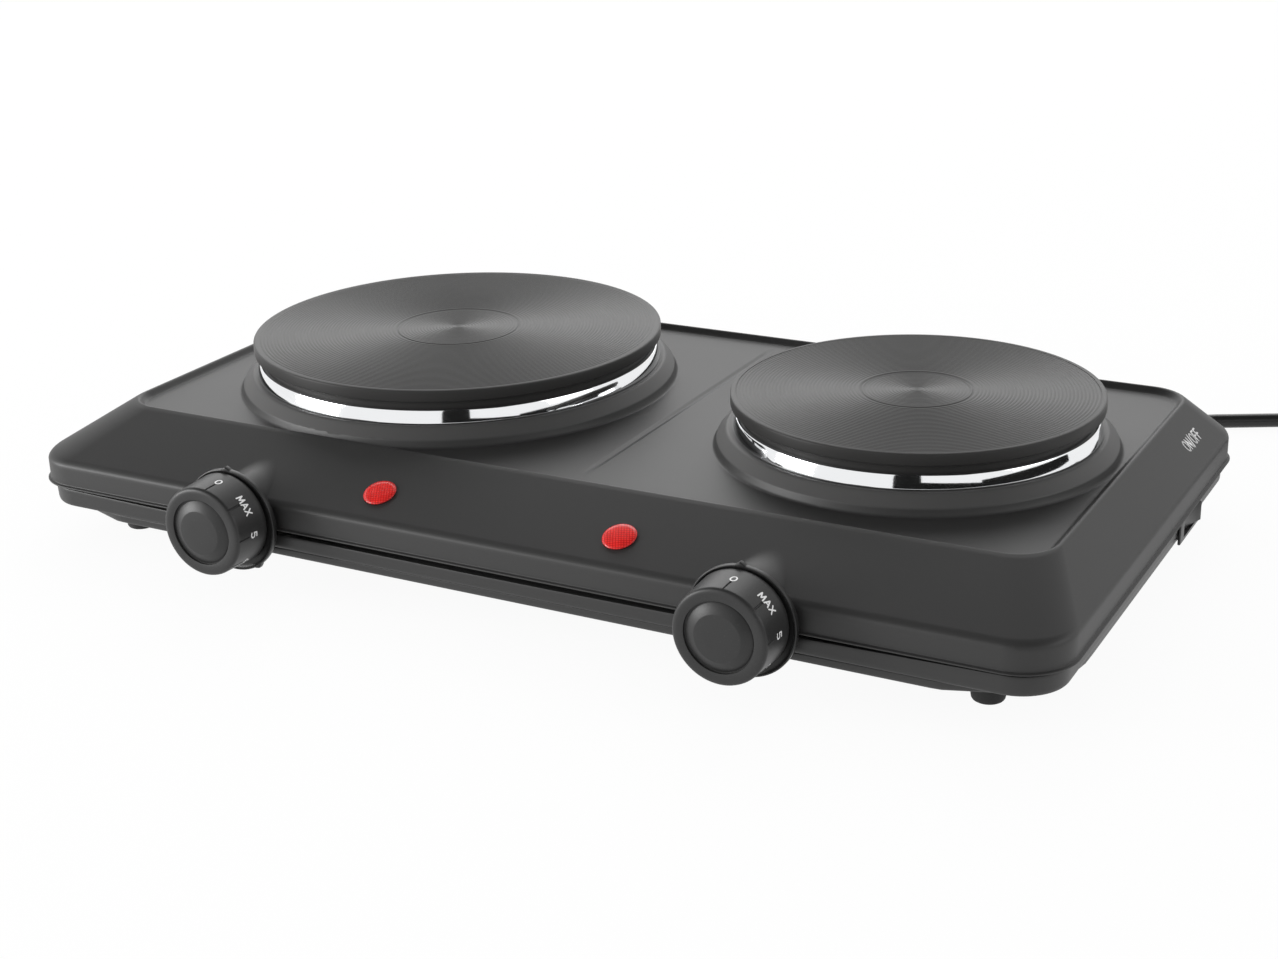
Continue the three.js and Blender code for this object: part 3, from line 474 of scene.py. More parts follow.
touch = straight + bend_radius * bend_angle + run_in
way_in = [lead_at(touch * i / 20) for i in range(20)]
around = [coil_at(t) for t in np.linspace(0, 180 - bend_degrees + 3 * 360, 92)]
tail_end, plug_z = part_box("cord_tail")[0][1], 18.6 * MM
tail = []
for share in np.arange(1, 9) / 8:
    y = coil_y + (tail_end - coil_y) * share
    tail.append((coil_x + outer_turn, y, high_turn + (plug_z - high_turn) * eased(share)))
line = [lead_at(-6 * MM)] + way_in + around + tail
length = sum(math.dist(a, b) for a, b in zip(line, line[1:]))
print("lead length %.3f m in %d points" % (length, len(line)))


# %% The lead as a swept tube
def lead_tube(points):
    """Sweeps a circle along a smooth curve through the points, and keeps it as a plain mesh."""
    data = bpy.data.curves.new("lead_line", "CURVE")
    data.dimensions = "3D"
    data.bevel_depth = lead_radius
    data.bevel_resolution = 5
    data.use_fill_caps = True
    data.resolution_u = 4
    spline = data.splines.new("BEZIER")
    spline.bezier_points.add(len(points) - 1)
    places = [Vector(p) for p in points]
    for i, knot in enumerate(spline.bezier_points):
        reach = (places[min(i + 1, len(places) - 1)] - places[max(i - 1, 0)]) / 6
        knot.handle_left_type = knot.handle_right_type = "FREE"
        knot.co = places[i]
        knot.handle_left = places[i] - reach
        knot.handle_right = places[i] + reach
    tube = baked(linked("lead_line", data))
    tube.name = "mains_lead"
    bpy.data.curves.remove(data)
    return linked("mains_lead", tube)


mains_lead = lead_tube(line)
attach(mains_lead, "housing")
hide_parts("power_cord", "cord_coil", "cord_tail")

# %% [markdown]
# ## Finishes
#
# The housing is steel with a satin charcoal powder coat: a fine grain that breaks up the highlights.
# On the bosses under the plates it is painted lighter, a painted highlight for the light their bands catch.
# The plates are cast iron, turned on a lathe and blackened, so their sheen follows the rings. The trim
# rings are mirror chrome. Dials and switch are moulded, spark-eroded plastic with a dry, speckled skin.

# %% Coated steel
plates = {"big": (-98.5, 94.0), "small": (127.7, 77.5)}  # centre in X and radius, in millimetres
plate_y = 26.3
seat_gap, edge_gap = 1.6, 6.0  # from the plate's radius to the boss's flat seat and to its edge


def coated_steel(name, level, rough, painted_highlights=()):
    """Powder coat, painted lighter inside each given centre and radius: a painted highlight on a boss's
    band.
    """
    look = Finish(name)
    where = look.place()
    cloud = look.noise(where, 9.0, 2.0)
    fine = look.noise(where, 2600.0, 2.0, 0.6)
    orange_peel = look.noise(where, 420.0, 2.0)
    tone = look.blend(cloud, grey(level * 0.96, 0.01), grey(level * 1.06, 0.01))
    # Inside each reach the coat is painted 2.6 times lighter, a painted highlight for the light on the
    # boss's sloping band.
    for centre_x, centre_y, reach in painted_highlights:
        away = look.away_from(centre_x, centre_y)[1]
        beyond = away.smooth(reach - 0.0003, reach + 0.0003)
        tone = look.blend(beyond, grey(level * 2.6, 0.01), tone)
    worn = (rough - 0.04 + 0.05 * cloud + 0.05 * fine).clamped(0.1, 0.9)
    look.set(Base_Color=tone, Roughness=worn)
    look.bump(0.65 * fine + 0.35 * orange_peel, 0.00003, 0.8)
    return look.material


# Centre and reach of each plate's boss, out to its band's edge, where the coat gets a painted highlight.
boss_highlights = [(x * MM, plate_y * MM, (radius + edge_gap) * MM) for x, radius in plates.values()]
shell_paint = coated_steel("charcoal_powder_coat", 0.022, 0.48, boss_highlights)
tray_paint = coated_steel("tray_black_enamel", 0.022, 0.42)


# %% Turned cast iron
def turned_iron(name, centre_x, centre_y):
    look = Finish(name)
    where, radius = look.away_from(centre_x, centre_y)
    cloud = look.noise(where, 14.0, 4.0, 0.6)
    grain = look.noise(where, 1500.0, 3.0, 0.6)
    turning = radius.wave(0.00052)
    look.set(Base_Color=look.blend(cloud, grey(0.027, 0.02), grey(0.0336, 0.02)))
    look.set(Specular_IOR_Level=0.22, Anisotropic=0.6, Anisotropic_Rotation=0.25)
    look.set(Roughness=(0.42 + 0.08 * cloud - 0.04 * turning).clamped(0.2, 0.9))
    look.bump(0.5 * turning + 0.5 * grain, 0.00003, 0.8)
    return look.material


# %% Metals
def metal(name, colour, rough, variation, scale, wear=0.00001):
    look = Finish(name)
    where = look.place()
    cloud = look.noise(where, scale, 3.0)
    fine = look.noise(where, scale * 24, 2.0)
    dark = tuple(c * (1 - variation) for c in colour)
    look.set(Base_Color=look.blend(cloud, dark, colour), Metallic=1.0)
    worn = rough + 0.5 * rough * (cloud - 0.5) + 0.25 * rough * fine
    look.set(Roughness=worn.clamped(0.02, 0.9))
    look.bump(fine, wear, 0.5)
    return look.material


chrome = metal("mirror_chrome", (0.86, 0.87, 0.88), 0.05, 0.02, 24.0, 0.000002)
zinc_steel = metal("zinc_plated_steel", (0.62, 0.63, 0.65), 0.32, 0.12, 90.0)
aluminium = metal("pressed_aluminium", (0.78, 0.79, 0.8), 0.38, 0.08, 40.0)
brass = metal("nickel_brass", (0.78, 0.66, 0.42), 0.22, 0.1, 80.0)


# %% Plastics, rubber and ceramic
def moulded(name, level, rough, speckle=0.0, scale=1800.0, depth=0.00002, warm=0.0):
    look = Finish(name)
    where = look.place()
    fine = look.noise(where, scale, 2.0, 0.65)
    cloud = look.noise(where, 30.0, 2.0)
    spots = look.noise(where, scale * 0.7, 1.0).smooth(0.66, 0.78)
    base = look.blend(cloud, grey(level * 0.94, warm), grey(level * 1.06, warm))
    look.set(Base_Color=look.blend(spots * speckle, base, grey(min(level * 3.0, 0.8), warm)))
    look.set(Roughness=(rough - 0.05 + 0.1 * fine).clamped(0.05, 0.95), Specular_IOR_Level=0.4)
    look.bump(fine, depth, 0.8)
    return look.material


dial_plastic = moulded("spark_eroded_charcoal", 0.022, 0.42, 0.25)
collar_plastic = moulded("satin_black_collar", 0.014, 0.36, 0.05)
black_plastic = moulded("satin_black_plastic", 0.012, 0.35, 0.05)
lead_pvc = moulded("black_pvc", 0.014, 0.32, 0.0, 900.0, 0.000008)
foot_rubber = moulded("black_rubber", 0.03, 0.75, 0.1, 1400.0, 0.00004)
steatite = moulded("steatite_ceramic", 0.72, 0.55, 0.0, 700.0, 0.00003, 0.05)
glass_sleeve = moulded("woven_glass_sleeve", 0.5, 0.8, 0.0, 1500.0, 0.00008, 0.12)
print_white = moulded("white_print", 0.78, 0.5, 0.0, 1200.0, 0.000005)
mains_lead.data.materials.append(lead_pvc)

# %% Red lens
look = Finish("red_lens")
where = look.place()
x, y, z = look.split(where)
across = (x + 0.5 * y).wave(0.0024)
along = (y - 0.4 * x + 0.8 * z).wave(0.0028)
prism = abs(across).do("MINIMUM", abs(along)).smooth(0.05, 0.5)
patch = look.noise(where, 170.0, 2.0).smooth(0.35, 0.7)
bright = look.blend(prism, (0.3, 0.003, 0.003), (0.78, 0.03, 0.026))
look.set(Base_Color=look.blend(0.35 * patch, bright, (0.3, 0.001, 0.002)))
look.set(Roughness=0.14 + 0.06 * patch, Specular_IOR_Level=0.35)
look.bump(prism, 0.00005, 0.6)
red_lens = look.material
print("finishes:", len(bpy.data.materials))

# %% [markdown]
# ## The housing as a height above the table
#
# The housing is one pressed sheet: a skirt, four slopes, a rounded bead, a flat deck, a round boss under
# each plate and a half-round boss over each dial. Pressings have no sharp inner corners, so each form is
# written as a height above the table and two forms meet through a smooth maximum or minimum, which
# leaves a fillet. Points are set close together along every edge and lifted to that height.

# %% Sizes of the housing, in millimetres
skirt_box = (-236.0, 236.0, -116.9, 142.0, 22.0)  # left, right, front, back, corner radius
bead_box = (-214.7, 217.9, -77.5, 130.1, 18.0)
lip_z, bend_z, deck_z, crest_z, seat_z = 27.9, 38.0, 51.6, 54.1, 59.6
bend_share, bend_round = 0.08, 1.8
bead_start, bead_width = 0.5, 4.0
foot_rise, foot_width, foot_depth, foot_curve, foot_steepness = 3.5, 2.6, 4.1, 2.3, 4.0
dial_x, dial_z, dial_boss = 118.0, 31.5, 14.0
crease_x, crease_half_width, crease_depth = 19.0, 2.2, 0.55
fillet_bead, fillet_seat, fillet_foot, fillet_dial = 1.1, 0.7, 0.6, 2.4
slope_rise = crest_z - bend_z


# %% Height functions
def smooth_max(a, b, width):
    mix = np.clip(0.5 + 0.5 * (a - b) / width, 0, 1)
    return b + (a - b) * mix + width * mix * (1 - mix)


def smooth_min(a, b, width):
    return -smooth_max(-a, -b, width)


def outside(x, y, box):
    """Signed distance from a rounded rectangle: negative inside it."""
    left, right, front, back, corner = box
    dx = np.abs(x - (left + right) / 2) - (right - left) / 2 + corner
    dy = np.abs(y - (front + back) / 2) - (back - front) / 2 + corner
    return np.hypot(np.maximum(dx, 0), np.maximum(dy, 0)) + np.minimum(np.maximum(dx, dy), 0) - corner


def mixed_box(share):
    return [a + (b - a) * share for a, b in zip(skirt_box, bead_box)]


def share_of(x, y):
    """How far a point is up the slope in plan, from the skirt (0) to the bead's crest (1)."""
    low, high = np.zeros_like(x), np.ones_like(x)
    for _ in range(30):
        middle = (low + high) / 2
        inside = outside(x, y, mixed_box(middle)) < 0
        low, high = np.where(inside, middle, low), np.where(inside, high, middle)
    return low


def slope_and_deck(x, y):
    share = share_of(x, y)
    inwards = -outside(x, y, bead_box)
    bend = np.clip(1 - share / bend_share, 0, 1)
    slope = bend_z + slope_rise * share - bend_round * (1 - np.sqrt(1 - bend**2))
    slope = slope + np.maximum(inwards, 0) * 0.55
    fall = eased(inwards, bead_start, bead_start + bead_width)
    return smooth_min(slope, deck_z + (crest_z - deck_z + 0.28) * (1 - fall), fillet_bead)


def with_boss(height, away, radius):
    """The height with a plate's boss: a flat seat, a steep band, and a foot that curves in under it."""
    seat, edge, ledge = radius + seat_gap, radius + edge_gap, deck_z + foot_rise
    band = seat_z - (away - seat) * (seat_z - ledge) / (edge - seat)
    foot = np.clip((away - edge) / foot_width, 0, 1)
    beyond = np.maximum(away - edge - foot_width, 0)
    below = ledge - foot_depth * (1 - (1 - foot) ** foot_curve) - beyond * foot_steepness
    boss = np.where(away < edge, smooth_min(band, seat_z, fillet_seat), np.minimum(below, ledge))
    return np.where(away < seat - 1.5, seat_z, smooth_max(height, boss, fillet_foot))


def housing_height(x, y):
    x, y = np.asarray(x, float), np.asarray(y, float)
    height = slope_and_deck(x, y)
    for plate_x, radius in plates.values():
        height = with_boss(height, np.hypot(x - plate_x, y - plate_y), radius)
    across = np.abs(np.abs(x) - dial_x)
    tapered = dial_boss - 0.6 * np.clip((y - skirt_box[2]) / 40, 0, 1)
    half_round = dial_z + np.sqrt(np.maximum(tapered**2 - across**2, 0))
    over_dial = (y < -60) & (across < tapered)
    height = np.where(over_dial, smooth_max(height, half_round, fillet_dial), height)
    crease = eased(1 - np.abs(x - crease_x) / crease_half_width)
    ends = np.clip((y + 62) / 14, 0, 1) * np.clip((118 - y) / 10, 0, 1)
    return height - crease_depth * crease * ends


def lifted(plan):
    return at_height(plan, housing_height(plan[:, 0], plan[:, 1]))


print("deck %.1f, crest %.1f mm" % tuple(housing_height([crease_x + 8, 60], [100.0, bead_box[2]])))


# %% Outlines that keep one order of points
def runs_between(knots, low, high):
    """Knots of a straight side that lie well between its two corners."""
    return [k for k in knots if low + 1.5 < k < high - 1.5]


fine_steps = (0, 2, 4, 6, 8, 9.5, 11, 12, 12.8, 13.5, 14.1, 14.6, 15.1, 15.5, 15.9, 16.3, 16.7)
fine_steps += (17.2, 17.8, 18.5, 19.5, 21, 23)
offsets = [sign * step * dial_boss / 16.6 for sign in (-1, 1) for step in fine_steps]
dial_knots = {round(way * dial_x + offset, 3) for way in (-1, 1) for offset in offsets}
coarse_knots = {float(x) for x in range(-192, 193, 4) if abs(abs(x) - dial_x) > 21.0}
long_knots = runs_between(sorted(dial_knots | coarse_knots), -196.7, 199.9)
short_knots = runs_between([float(y) for y in range(-54, 109, 6)], -59.5, 112.1)


def outline(share, inset=0.0):
    """A rounded rectangle between skirt and bead, whose k-th point always faces the same way."""
    left, right, front, back, corner = mixed_box(share)
    left, right, front, back = left + inset, right - inset, front + inset, back - inset
    corner = max(corner - inset, 0.8)
    turns = np.radians(np.linspace(0, 90, 22))
    middles = [(right - corner, back - corner), (left + corner, back - corner)]
    middles += [(left + corner, front + corner), (right - corner, front + corner)]
    front_end, back_end = front + corner, back - corner
    lead_in = [front_end + (short_knots[0] - front_end) * t for t in (0.2, 0.4, 0.6, 0.8)]
    lead_out = [short_knots[-1] + (back_end - short_knots[-1]) * t for t in (0.35, 0.7)]
    climb = lead_in + short_knots + lead_out
    sides = [[(x, back) for x in long_knots[::-1]], [(left, y) for y in climb[::-1]]]
    sides += [[(x, front) for x in long_knots], [(right, y) for y in climb]]
    points = []
    for quarter, (cx, cy) in enumerate(middles):
        angles = turns + quarter * math.pi / 2
        points += [(cx + corner * math.cos(t), cy + corner * math.sin(t)) for t in angles]
        points += sides[quarter]
    return np.array(points)


def circle(centre_x, centre_y, radius, step):
    turns = np.radians(np.arange(0, 360, step))
    return np.stack([centre_x + radius * np.cos(turns), centre_y + radius * np.sin(turns)], axis=1)


# %% [markdown]
# The slopes and the bead are rings of quads, one inside the other, so no edge cuts across their
# curves. Inside the bead the round bosses meet the deck and the bead at changing distances, which
# rings can't follow. That part is joined into triangles in plan by a Delaunay triangulation, with the
# bosses' own circles as fixed edges.

# %% Rings of the slopes and the bead
shares = [bend_share + 0.03 * k for k in range(25)] + [0.85, 0.89, 0.925, 0.95, 0.97, 0.985, 1.0]
insets = (0.35, 0.7, 1.05, 1.4, 1.8, 2.2, 2.6, 3.0, 3.4)
rings = [outline(s) for s in shares] + [outline(1.0, e) for e in insets]
ring_length = len(rings[0])
deck_edge, plate_hole = insets[-1], 7.0


def on_deck(points, rim_gap, hole_gap):
    """Which points lie this far inside the last ring and outside the holes under the plates."""
    x, y = points.T
    inside = outside(x, y, bead_box) < -deck_edge - rim_gap
    for plate_x, radius in plates.values():
        inside &= np.hypot(x - plate_x, y - plate_y) > radius - plate_hole + hole_gap
    return inside


# %% Circles of the bosses, crease rows and fill
by_seat = (-1.4, -0.9, -0.5, -0.2, 0, 0.25, 0.6, 1.2, 2.4, 3.6)
by_edge = (-0.2, 0, 0.2, 0.5, 0.9, 1.4, 2.0, 2.7, 3.5, 4.4, 5.4, 6.6, 8.5)
hole_lines = []
families = []
for plate_x, radius in plates.values():
    radii = [radius + seat_gap + step for step in by_seat] + [radius + edge_gap + step for step in by_edge]
    hole_lines.append(circle(plate_x, plate_y, radius - plate_hole, 2.0))
    families += [(circle(plate_x, plate_y, r, 2.0), True) for r in [radius - 3, *radii]]
families += [(outline(1.0, inset), True) for inset in (3.9, 4.4, 5.0, 5.6, 6.2, 7.5)]
crease_y = np.linspace(-68, 121, 60)
for offset in (-2.4, -1.7, -1.1, -0.5, 0, 0.5, 1.1, 1.7, 2.4):
    families.append((np.stack([np.full(60, crease_x + offset), crease_y], axis=1), False))
fill_x, fill_y = np.meshgrid(np.arange(-230, 231, 9.0), np.arange(-112, 140, 9.0))
families.append((np.stack([fill_x.ravel(), fill_y.ravel()], axis=1), None))


# %% Triangulate the deck in plan
def thinned(fixed, groups, gap):
    """Adds each group's points that lie at least gap from all before them, and joins neighbours kept."""
    cells = {}
    kept = []
    edges = []

    def free(x, y):
        column, row = int(x // gap), int(y // gap)
        around = [(column + i, row + j) for i in (-1, 0, 1) for j in (-1, 0, 1)]
        near = [q for cell in around for q in cells.get(cell, ())]
        return all((x - qx) ** 2 + (y - qy) ** 2 >= gap * gap for qx, qy in near)

    def keep(x, y):
        cells.setdefault((int(x // gap), int(y // gap)), []).append((x, y))
        kept.append((x, y))
        return len(kept) - 1

    for x, y in fixed:
        keep(x, y)
    for points, closed in groups:
        places = []
        for place, good in zip(points, on_deck(points, 0.25, 0.4)):
            places.append(keep(*place) if good and free(*place) else None)
        if closed is not None:
            pairs = list(zip(places, places[1:])) + ([(places[-1], places[0])] if closed else [])
            edges += [pair for pair in pairs if None not in pair]
    return np.array(kept), edges


def triangulated(loops, points, edges=()):
    """Points and triangles of a plan that starts with these loops; their edges and the others stay."""
    fixed = []
    start = 0
    for loop in loops:
        fixed += [(start + k, start + (k + 1) % len(loop)) for k in range(len(loop))]
        start += len(loop)
    fixed += edges
    result = delaunay_2d_cdt([Vector(p) for p in points.tolist()], fixed, [], 0, 1e-6)
    return np.array([tuple(v) for v in result[0]]), np.array([f for f in result[2] if len(f) == 3])


def all_facing(way, points, triangles):
    """The triangles, with those turned over that don't face up (1) or down (-1)."""
    corners = points[triangles]
    area = np.cross(corners[:, 1] - corners[:, 0], corners[:, 2] - corners[:, 0])
    wrong = area * way < 0
    triangles[wrong] = triangles[wrong][:, ::-1]
    return triangles


deck_loops = [rings[-1]] + hole_lines
plan, kept_edges = thinned(np.concatenate(deck_loops), families, 0.3)
plan, triangles = triangulated(deck_loops, plan, kept_edges)
assert np.allclose(plan[:ring_length], rings[-1], atol=1e-4)
inside = on_deck(plan[triangles].mean(axis=1), -0.01, -0.02)
triangles = all_facing(1, plan, triangles[inside])
print("deck:", len(plan), "points,", len(triangles), "triangles")

# %% Lift the top, add bend, skirt and lip
lip_rows = [(0.0, lip_z), (0.15, 27.72), (0.6, 27.5), (0.95, 27.35), (1.1, 27.15), (1.1, 26.9)]
lip_rows += [(0.9, 26.7), (0.4, 26.6)]


def skirt_rows():
    """Rows of points from the rim of the top down to the lip, which swell forward over the dials."""
    rows = [lifted(outline(bend_share * turn)) for turn in (0.75, 0.5, 0.3, 0.15, 0.05, 0.0)]
    top = rows[-1]
    across = np.abs(np.abs(top[:, 0]) - dial_x)
    on_front = top[:, 1] < skirt_box[2] + 0.5
    bulge = 0.8 * on_front * np.clip((dial_boss + 0.6 - across) / 1.2, 0, 1)
    for step, row in enumerate(rows):
        row[:, 1] -= bulge * (step + 1) / len(rows)
    wall = top[:, :2].copy()
    wall[:, 1] -= bulge
    for share in (0.15, 0.4, 0.7, 0.9, 0.97):
        rows.append(at_height(wall, top[:, 2] + (lip_z - top[:, 2]) * share))
    return rows + [at_height(outline(0.0, -grow), z) for grow, z in lip_rows]


def pressed(name, node, look, middle, triangles, rows, flip=False):
    """A sheet: triangles whose first points are a ring, and quads from that ring through the rows."""
    starts = [0] + [len(middle) + k * ring_length for k in range(len(rows))]
    faces = triangles.tolist() + strips(starts, ring_length, flip)
    points = np.concatenate([middle] + rows) * MM
    material, slot = look
    made = piece(name, points, faces, material, "housing", [node], slot, 50)
    sheet = made.modifiers.new("sheet", "SOLIDIFY")
    sheet.thickness = 0.9 * MM
    sheet.offset = -1.0
    applied(made)
    return made


rows = [lifted(ring) for ring in rings[-2::-1]] + skirt_rows()
shell_look = (shell_paint, "shell_paint")
housing = pressed("top_shell_skin", "top_shell", shell_look, lifted(plan), triangles, rows, flip=True)
print("housing sheet:", len(housing.data.polygons), "faces")

# %% [markdown]
# Between two mesh points the light is spread from their normals. The height function knows its own
# slope exactly, so the finished sheet takes its normals from there, and highlights run clean.

# %% Normals from the height function
outer = np.concatenate([plan] + rings[-2::-1])
reach = 0.04
ahead, behind, beside, before = [
    housing_height(outer[:, 0] + dx, outer[:, 1] + dy)
    for dx, dy in ((reach, 0), (-reach, 0), (0, reach), (0, -reach))
]
normal = at_height(np.column_stack([behind - ahead, before - beside]), 2 * reach)
normal /= np.linalg.norm(normal, axis=1)[:, None]
all_normals = np.zeros((len(housing.data.vertices), 3))
all_normals[: len(outer)] = normal
housing.data.normals_split_custom_set_from_vertices(all_normals.tolist())

# %% [markdown]
# ## The tray
#
# The tray is a second pressing that hangs inside the skirt. Its band follows the skirt a little further
# in, and its upper edge turns inwards, which leaves a dark joint under the housing's lip. Below the
# band sits a shallow pan with much rounder corners. Its floor is triangulated in plan round the air
# slots and the screw holes. The band gets a window for the switch and a bore for the lead.

# %% Sizes and lines of the tray
tray_low, tray_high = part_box("base_tray")
floor_z = tray_low[2] / MM
pan_box = (-231.6, 231.6, -112.15, 137.25, 45.0)
pan_steps = [(-0.9, 0.0), (-0.35, 0.05), (0.1, 0.25), (0.45, 0.65), (0.7, 1.3), (0.9, 2.3), (1.03, 3.3)]
pan_steps += [(1.05, 3.55), (0.95, 3.75), (0.6, 3.95)]
band_steps = [(3.4, 4.1), (3.05, 4.25), (2.75, 4.6), (2.55, 5.1), (2.42, 5.8), (2.38, 6.8), (2.3, 8.2)]
lip_steps = [(2.2, -1.2), (2.2, -0.45), (2.32, -0.15), (2.65, 0.0), (4.0, 0.05), (8.4, 0.1), (8.9, 0.4)]
lip_steps += [(9.0, 1.2)]
slot_half_width, slot_reach = 2.0, 20.0
slots = [way * 118 + (i - 2.5) * 10 for way in (-1, 1) for i in range(6)]
corner_names = [depth + "_" + side for depth in ("front", "back") for side in ("left", "right")]
feet = np.array([centre_of("foot_" + corner)[:2] for corner in corner_names])
foot_bore, lead_bore = 2.2, 5.2


def slot_line(cx):
    turns = np.radians(np.linspace(0, 180, 9))
    rounded = [(slot_half_width * math.cos(t), slot_half_width * math.sin(t)) for t in turns]
    top = [(cx + across, plate_y + slot_reach + along) for across, along in rounded]
    return np.array(top + [(2 * cx - x, 2 * plate_y - y) for x, y in top])


def pan_ring(around, grow):
    """The nearest line round the pan, one point for each point of the ring round it."""
    left, right, front, back, corner = pan_box
    inner_low, inner_high = (left + corner, front + corner), (right - corner, back - corner)
    core = np.clip(around, inner_low, inner_high)
    away = around - core
    return core + away / np.linalg.norm(away, axis=1)[:, None] * (corner + grow)


def lip_height(x):
    """The tray's upper edge sags in the middle of its long sides, so the joint is wider there."""
    return 22.9 + 2.0 * np.minimum(np.abs(x) / 215.0, 1.0) ** 2


# %% Tray floor and wall
band_line = outline(0.0, band_steps[0][0])
floor_loops = [pan_ring(band_line, pan_steps[0][0])] + [slot_line(cx) for cx in slots]
floor_loops += [circle(x, y, foot_bore, 22.5) for x, y in feet / MM]
floor_plan, floor_faces = triangulated(floor_loops, np.concatenate(floor_loops))
middle_x, middle_y = floor_plan[floor_faces].mean(axis=1).T
keep = outside(middle_x, middle_y, pan_box) < pan_steps[0][0] + 0.02
for cx in slots:
    along = np.maximum(np.abs(middle_y - plate_y) - slot_reach, 0)
    keep &= np.hypot(middle_x - cx, along) > slot_half_width * 0.995
for x, y in feet / MM:
    keep &= np.hypot(middle_x - x, middle_y - y) > foot_bore - 0.05
floor_faces = all_facing(-1, floor_plan, floor_faces[keep])
tray_rows = [at_height(pan_ring(band_line, grow), floor_z + up) for grow, up in pan_steps[1:]]
tray_rows += [at_height(outline(0.0, inset), floor_z + up) for inset, up in band_steps]
lips = [(outline(0.0, inset), up) for inset, up in lip_steps]
tray_rows += [at_height(around, lip_height(around[:, 0]) + up) for around, up in lips]
tray_rows.append(at_height(lips[-1][0], tray_high[2] / MM - 0.05))
tray_look = (tray_paint, "tray_paint")
tray_floor = at_height(floor_plan, floor_z)
tray = pressed("base_tray_skin", "base_tray", tray_look, tray_floor, floor_faces, tray_rows)

# %% Window for the switch and bore for the lead
switch_low, switch_high = [np.array(corner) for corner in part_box("switch_housing")]
flange_margin = np.array((0, 3.2, 0.4)) * MM
cut_from(tray, *brick(switch_low + flange_margin, switch_high - flange_margin + (0.004, 0, 0)))
bore, bore_faces = revolve([(0, -20), (lead_bore, -20), (lead_bore, 20), (0, 20)], 40)
cut_from(tray, facing_front(bore, (exit_x, tray_high[1], exit_z)), bore_faces)
smooth_with_edges(tray.data, 35)
print("tray:", len(tray.data.polygons), "faces")

# %% [markdown]
# ## Cast-iron plates and chrome rings
#
# A plate is one lathe shape. Its top carries the marks of turning: a ring every 1.55 mm outside the
# engraved circle and a finer set inside it. The rings are real geometry, 0.15 and 0.1 mm deep, so the
# sheen breaks up into the fine arcs that a turned plate shows. The chrome ring below it leaves a dark
# gap under the rim.

# %% Plate and ring profiles
rim_z, rim_overhang, plate_thickness = 69.6, 4.2, 7.0
engraved = [(-0.6, 0), (-0.35, 0.25), (0, 0.32), (0.35, 0.25), (0.7, 0)]
shoulder = [(0.95, 0), (0.5, 0.07), (0.2, 0.25), (0.04, 0.55), (0, 0.95)]
under_rim = [(0, 0.8), (0.15, 0.35), (0.5, 0.08), (0.9, 0)]
ring_wall = [(2.25, 0.03), (2.12, 0.12), (2.0, 0.3), (1.87, 0.6), (1.56, 1.5), (1.28, 2.4), (1.02, 3.35)]
ring_wall += [(0.78, 4.3), (0.57, 5.2)]


def turning_marks(start, end, pitch, depth, top):
    marks = []
    for k in range(max(int(round((end - start) / pitch)), 1)):
        r = start + k * pitch
        marks += [(r, top), (r + 0.45 * pitch, top)]
        marks += [(r + 0.62 * pitch, top - depth), (r + 0.82 * pitch, top - depth)]
    return marks + [(end, top)]


def plate_profile(radius, top, seat, ring_top):
    wall, hollow, engraved_at = radius - rim_overhang, top - plate_thickness, 0.3 * radius
    line = [(0, top), (1.6, top)] + turning_marks(2.2, engraved_at - 1.2, 1.45, 0.1, top)
    line += [(engraved_at + out, top - down) for out, down in engraved]
    line += turning_marks(engraved_at + 1.2, radius - 2.2, 1.55, 0.15, top)
    line += [(radius - inset, top - down) for inset, down in shoulder]
    line += [(radius - inset, rim_z + up) for inset, up in under_rim]
    line += [(wall, rim_z), (wall, ring_top), (wall, seat + 0.3), (wall - 0.3, seat)]
    line += [(wall - 4.7, seat), (wall - 5, seat + 0.3), (wall - 5, hollow), (10.5, hollow)]
    line += [(9, hollow - 1), (9, 61.2), (8.4, 60.8), (3.2, 60.8), (3.2, top - 5), (0, top - 5)]
    return line[::-1]


def ring_profile(radius, foot, crown):
    bore = radius - rim_overhang + 0.3
    line = [(bore, crown - 0.9), (bore, crown - 0.15), (bore + 0.2, crown), (radius - 2.45, crown)]
    line += [(radius - inset, crown - down) for inset, down in ring_wall]
    line += [(radius - 0.52, foot + 0.2), (radius - 0.55, foot), (radius - 1.4, foot)]
    line += [(radius - 1.6, foot + 0.4), (radius - 2.6, crown - 0.7)]
    return line[::-1]


for name, (_, radius) in plates.items():
    low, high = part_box(name + "_hotplate")
    ring_low, ring_high = [corner[2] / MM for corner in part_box(name + "_trim_ring")]
    centre_x, centre_y, _ = centre_of(name + "_hotplate")
    centre = (centre_x, centre_y, 0)
    points, faces = revolve(plate_profile(radius, high[2] / MM, low[2] / MM, ring_high), 176)
    iron = turned_iron(name + "_plate_iron", centre_x, centre_y)
    rest = (iron, "housing", [name + "_hotplate"], "cast_iron")
    piece(name + "_plate_turned", points + centre, faces, *rest)
    points, faces = revolve(ring_profile(radius, ring_low, ring_high - 0.9), 176)
    rest = (chrome, "housing", [name + "_trim_ring"], "chrome")
    piece(name + "_ring_chrome", points + centre, faces, *rest)
print("plates and rings are turned")

# %% [markdown]
# ## Dials and their collars
#
# A dial is a lathe shape too, but its side carries seven engraved ticks. The lathe's angles are packed
# closely round each tick, and the points that fall inside one are moved in.


# %% Lettering as thin prints
def ring_stroke(across):
    turns = np.radians(np.arange(0, 361, 24))
    return [(across * (0.5 + 0.5 * math.sin(t)), 0.5 + 0.5 * math.cos(t)) for t in turns]


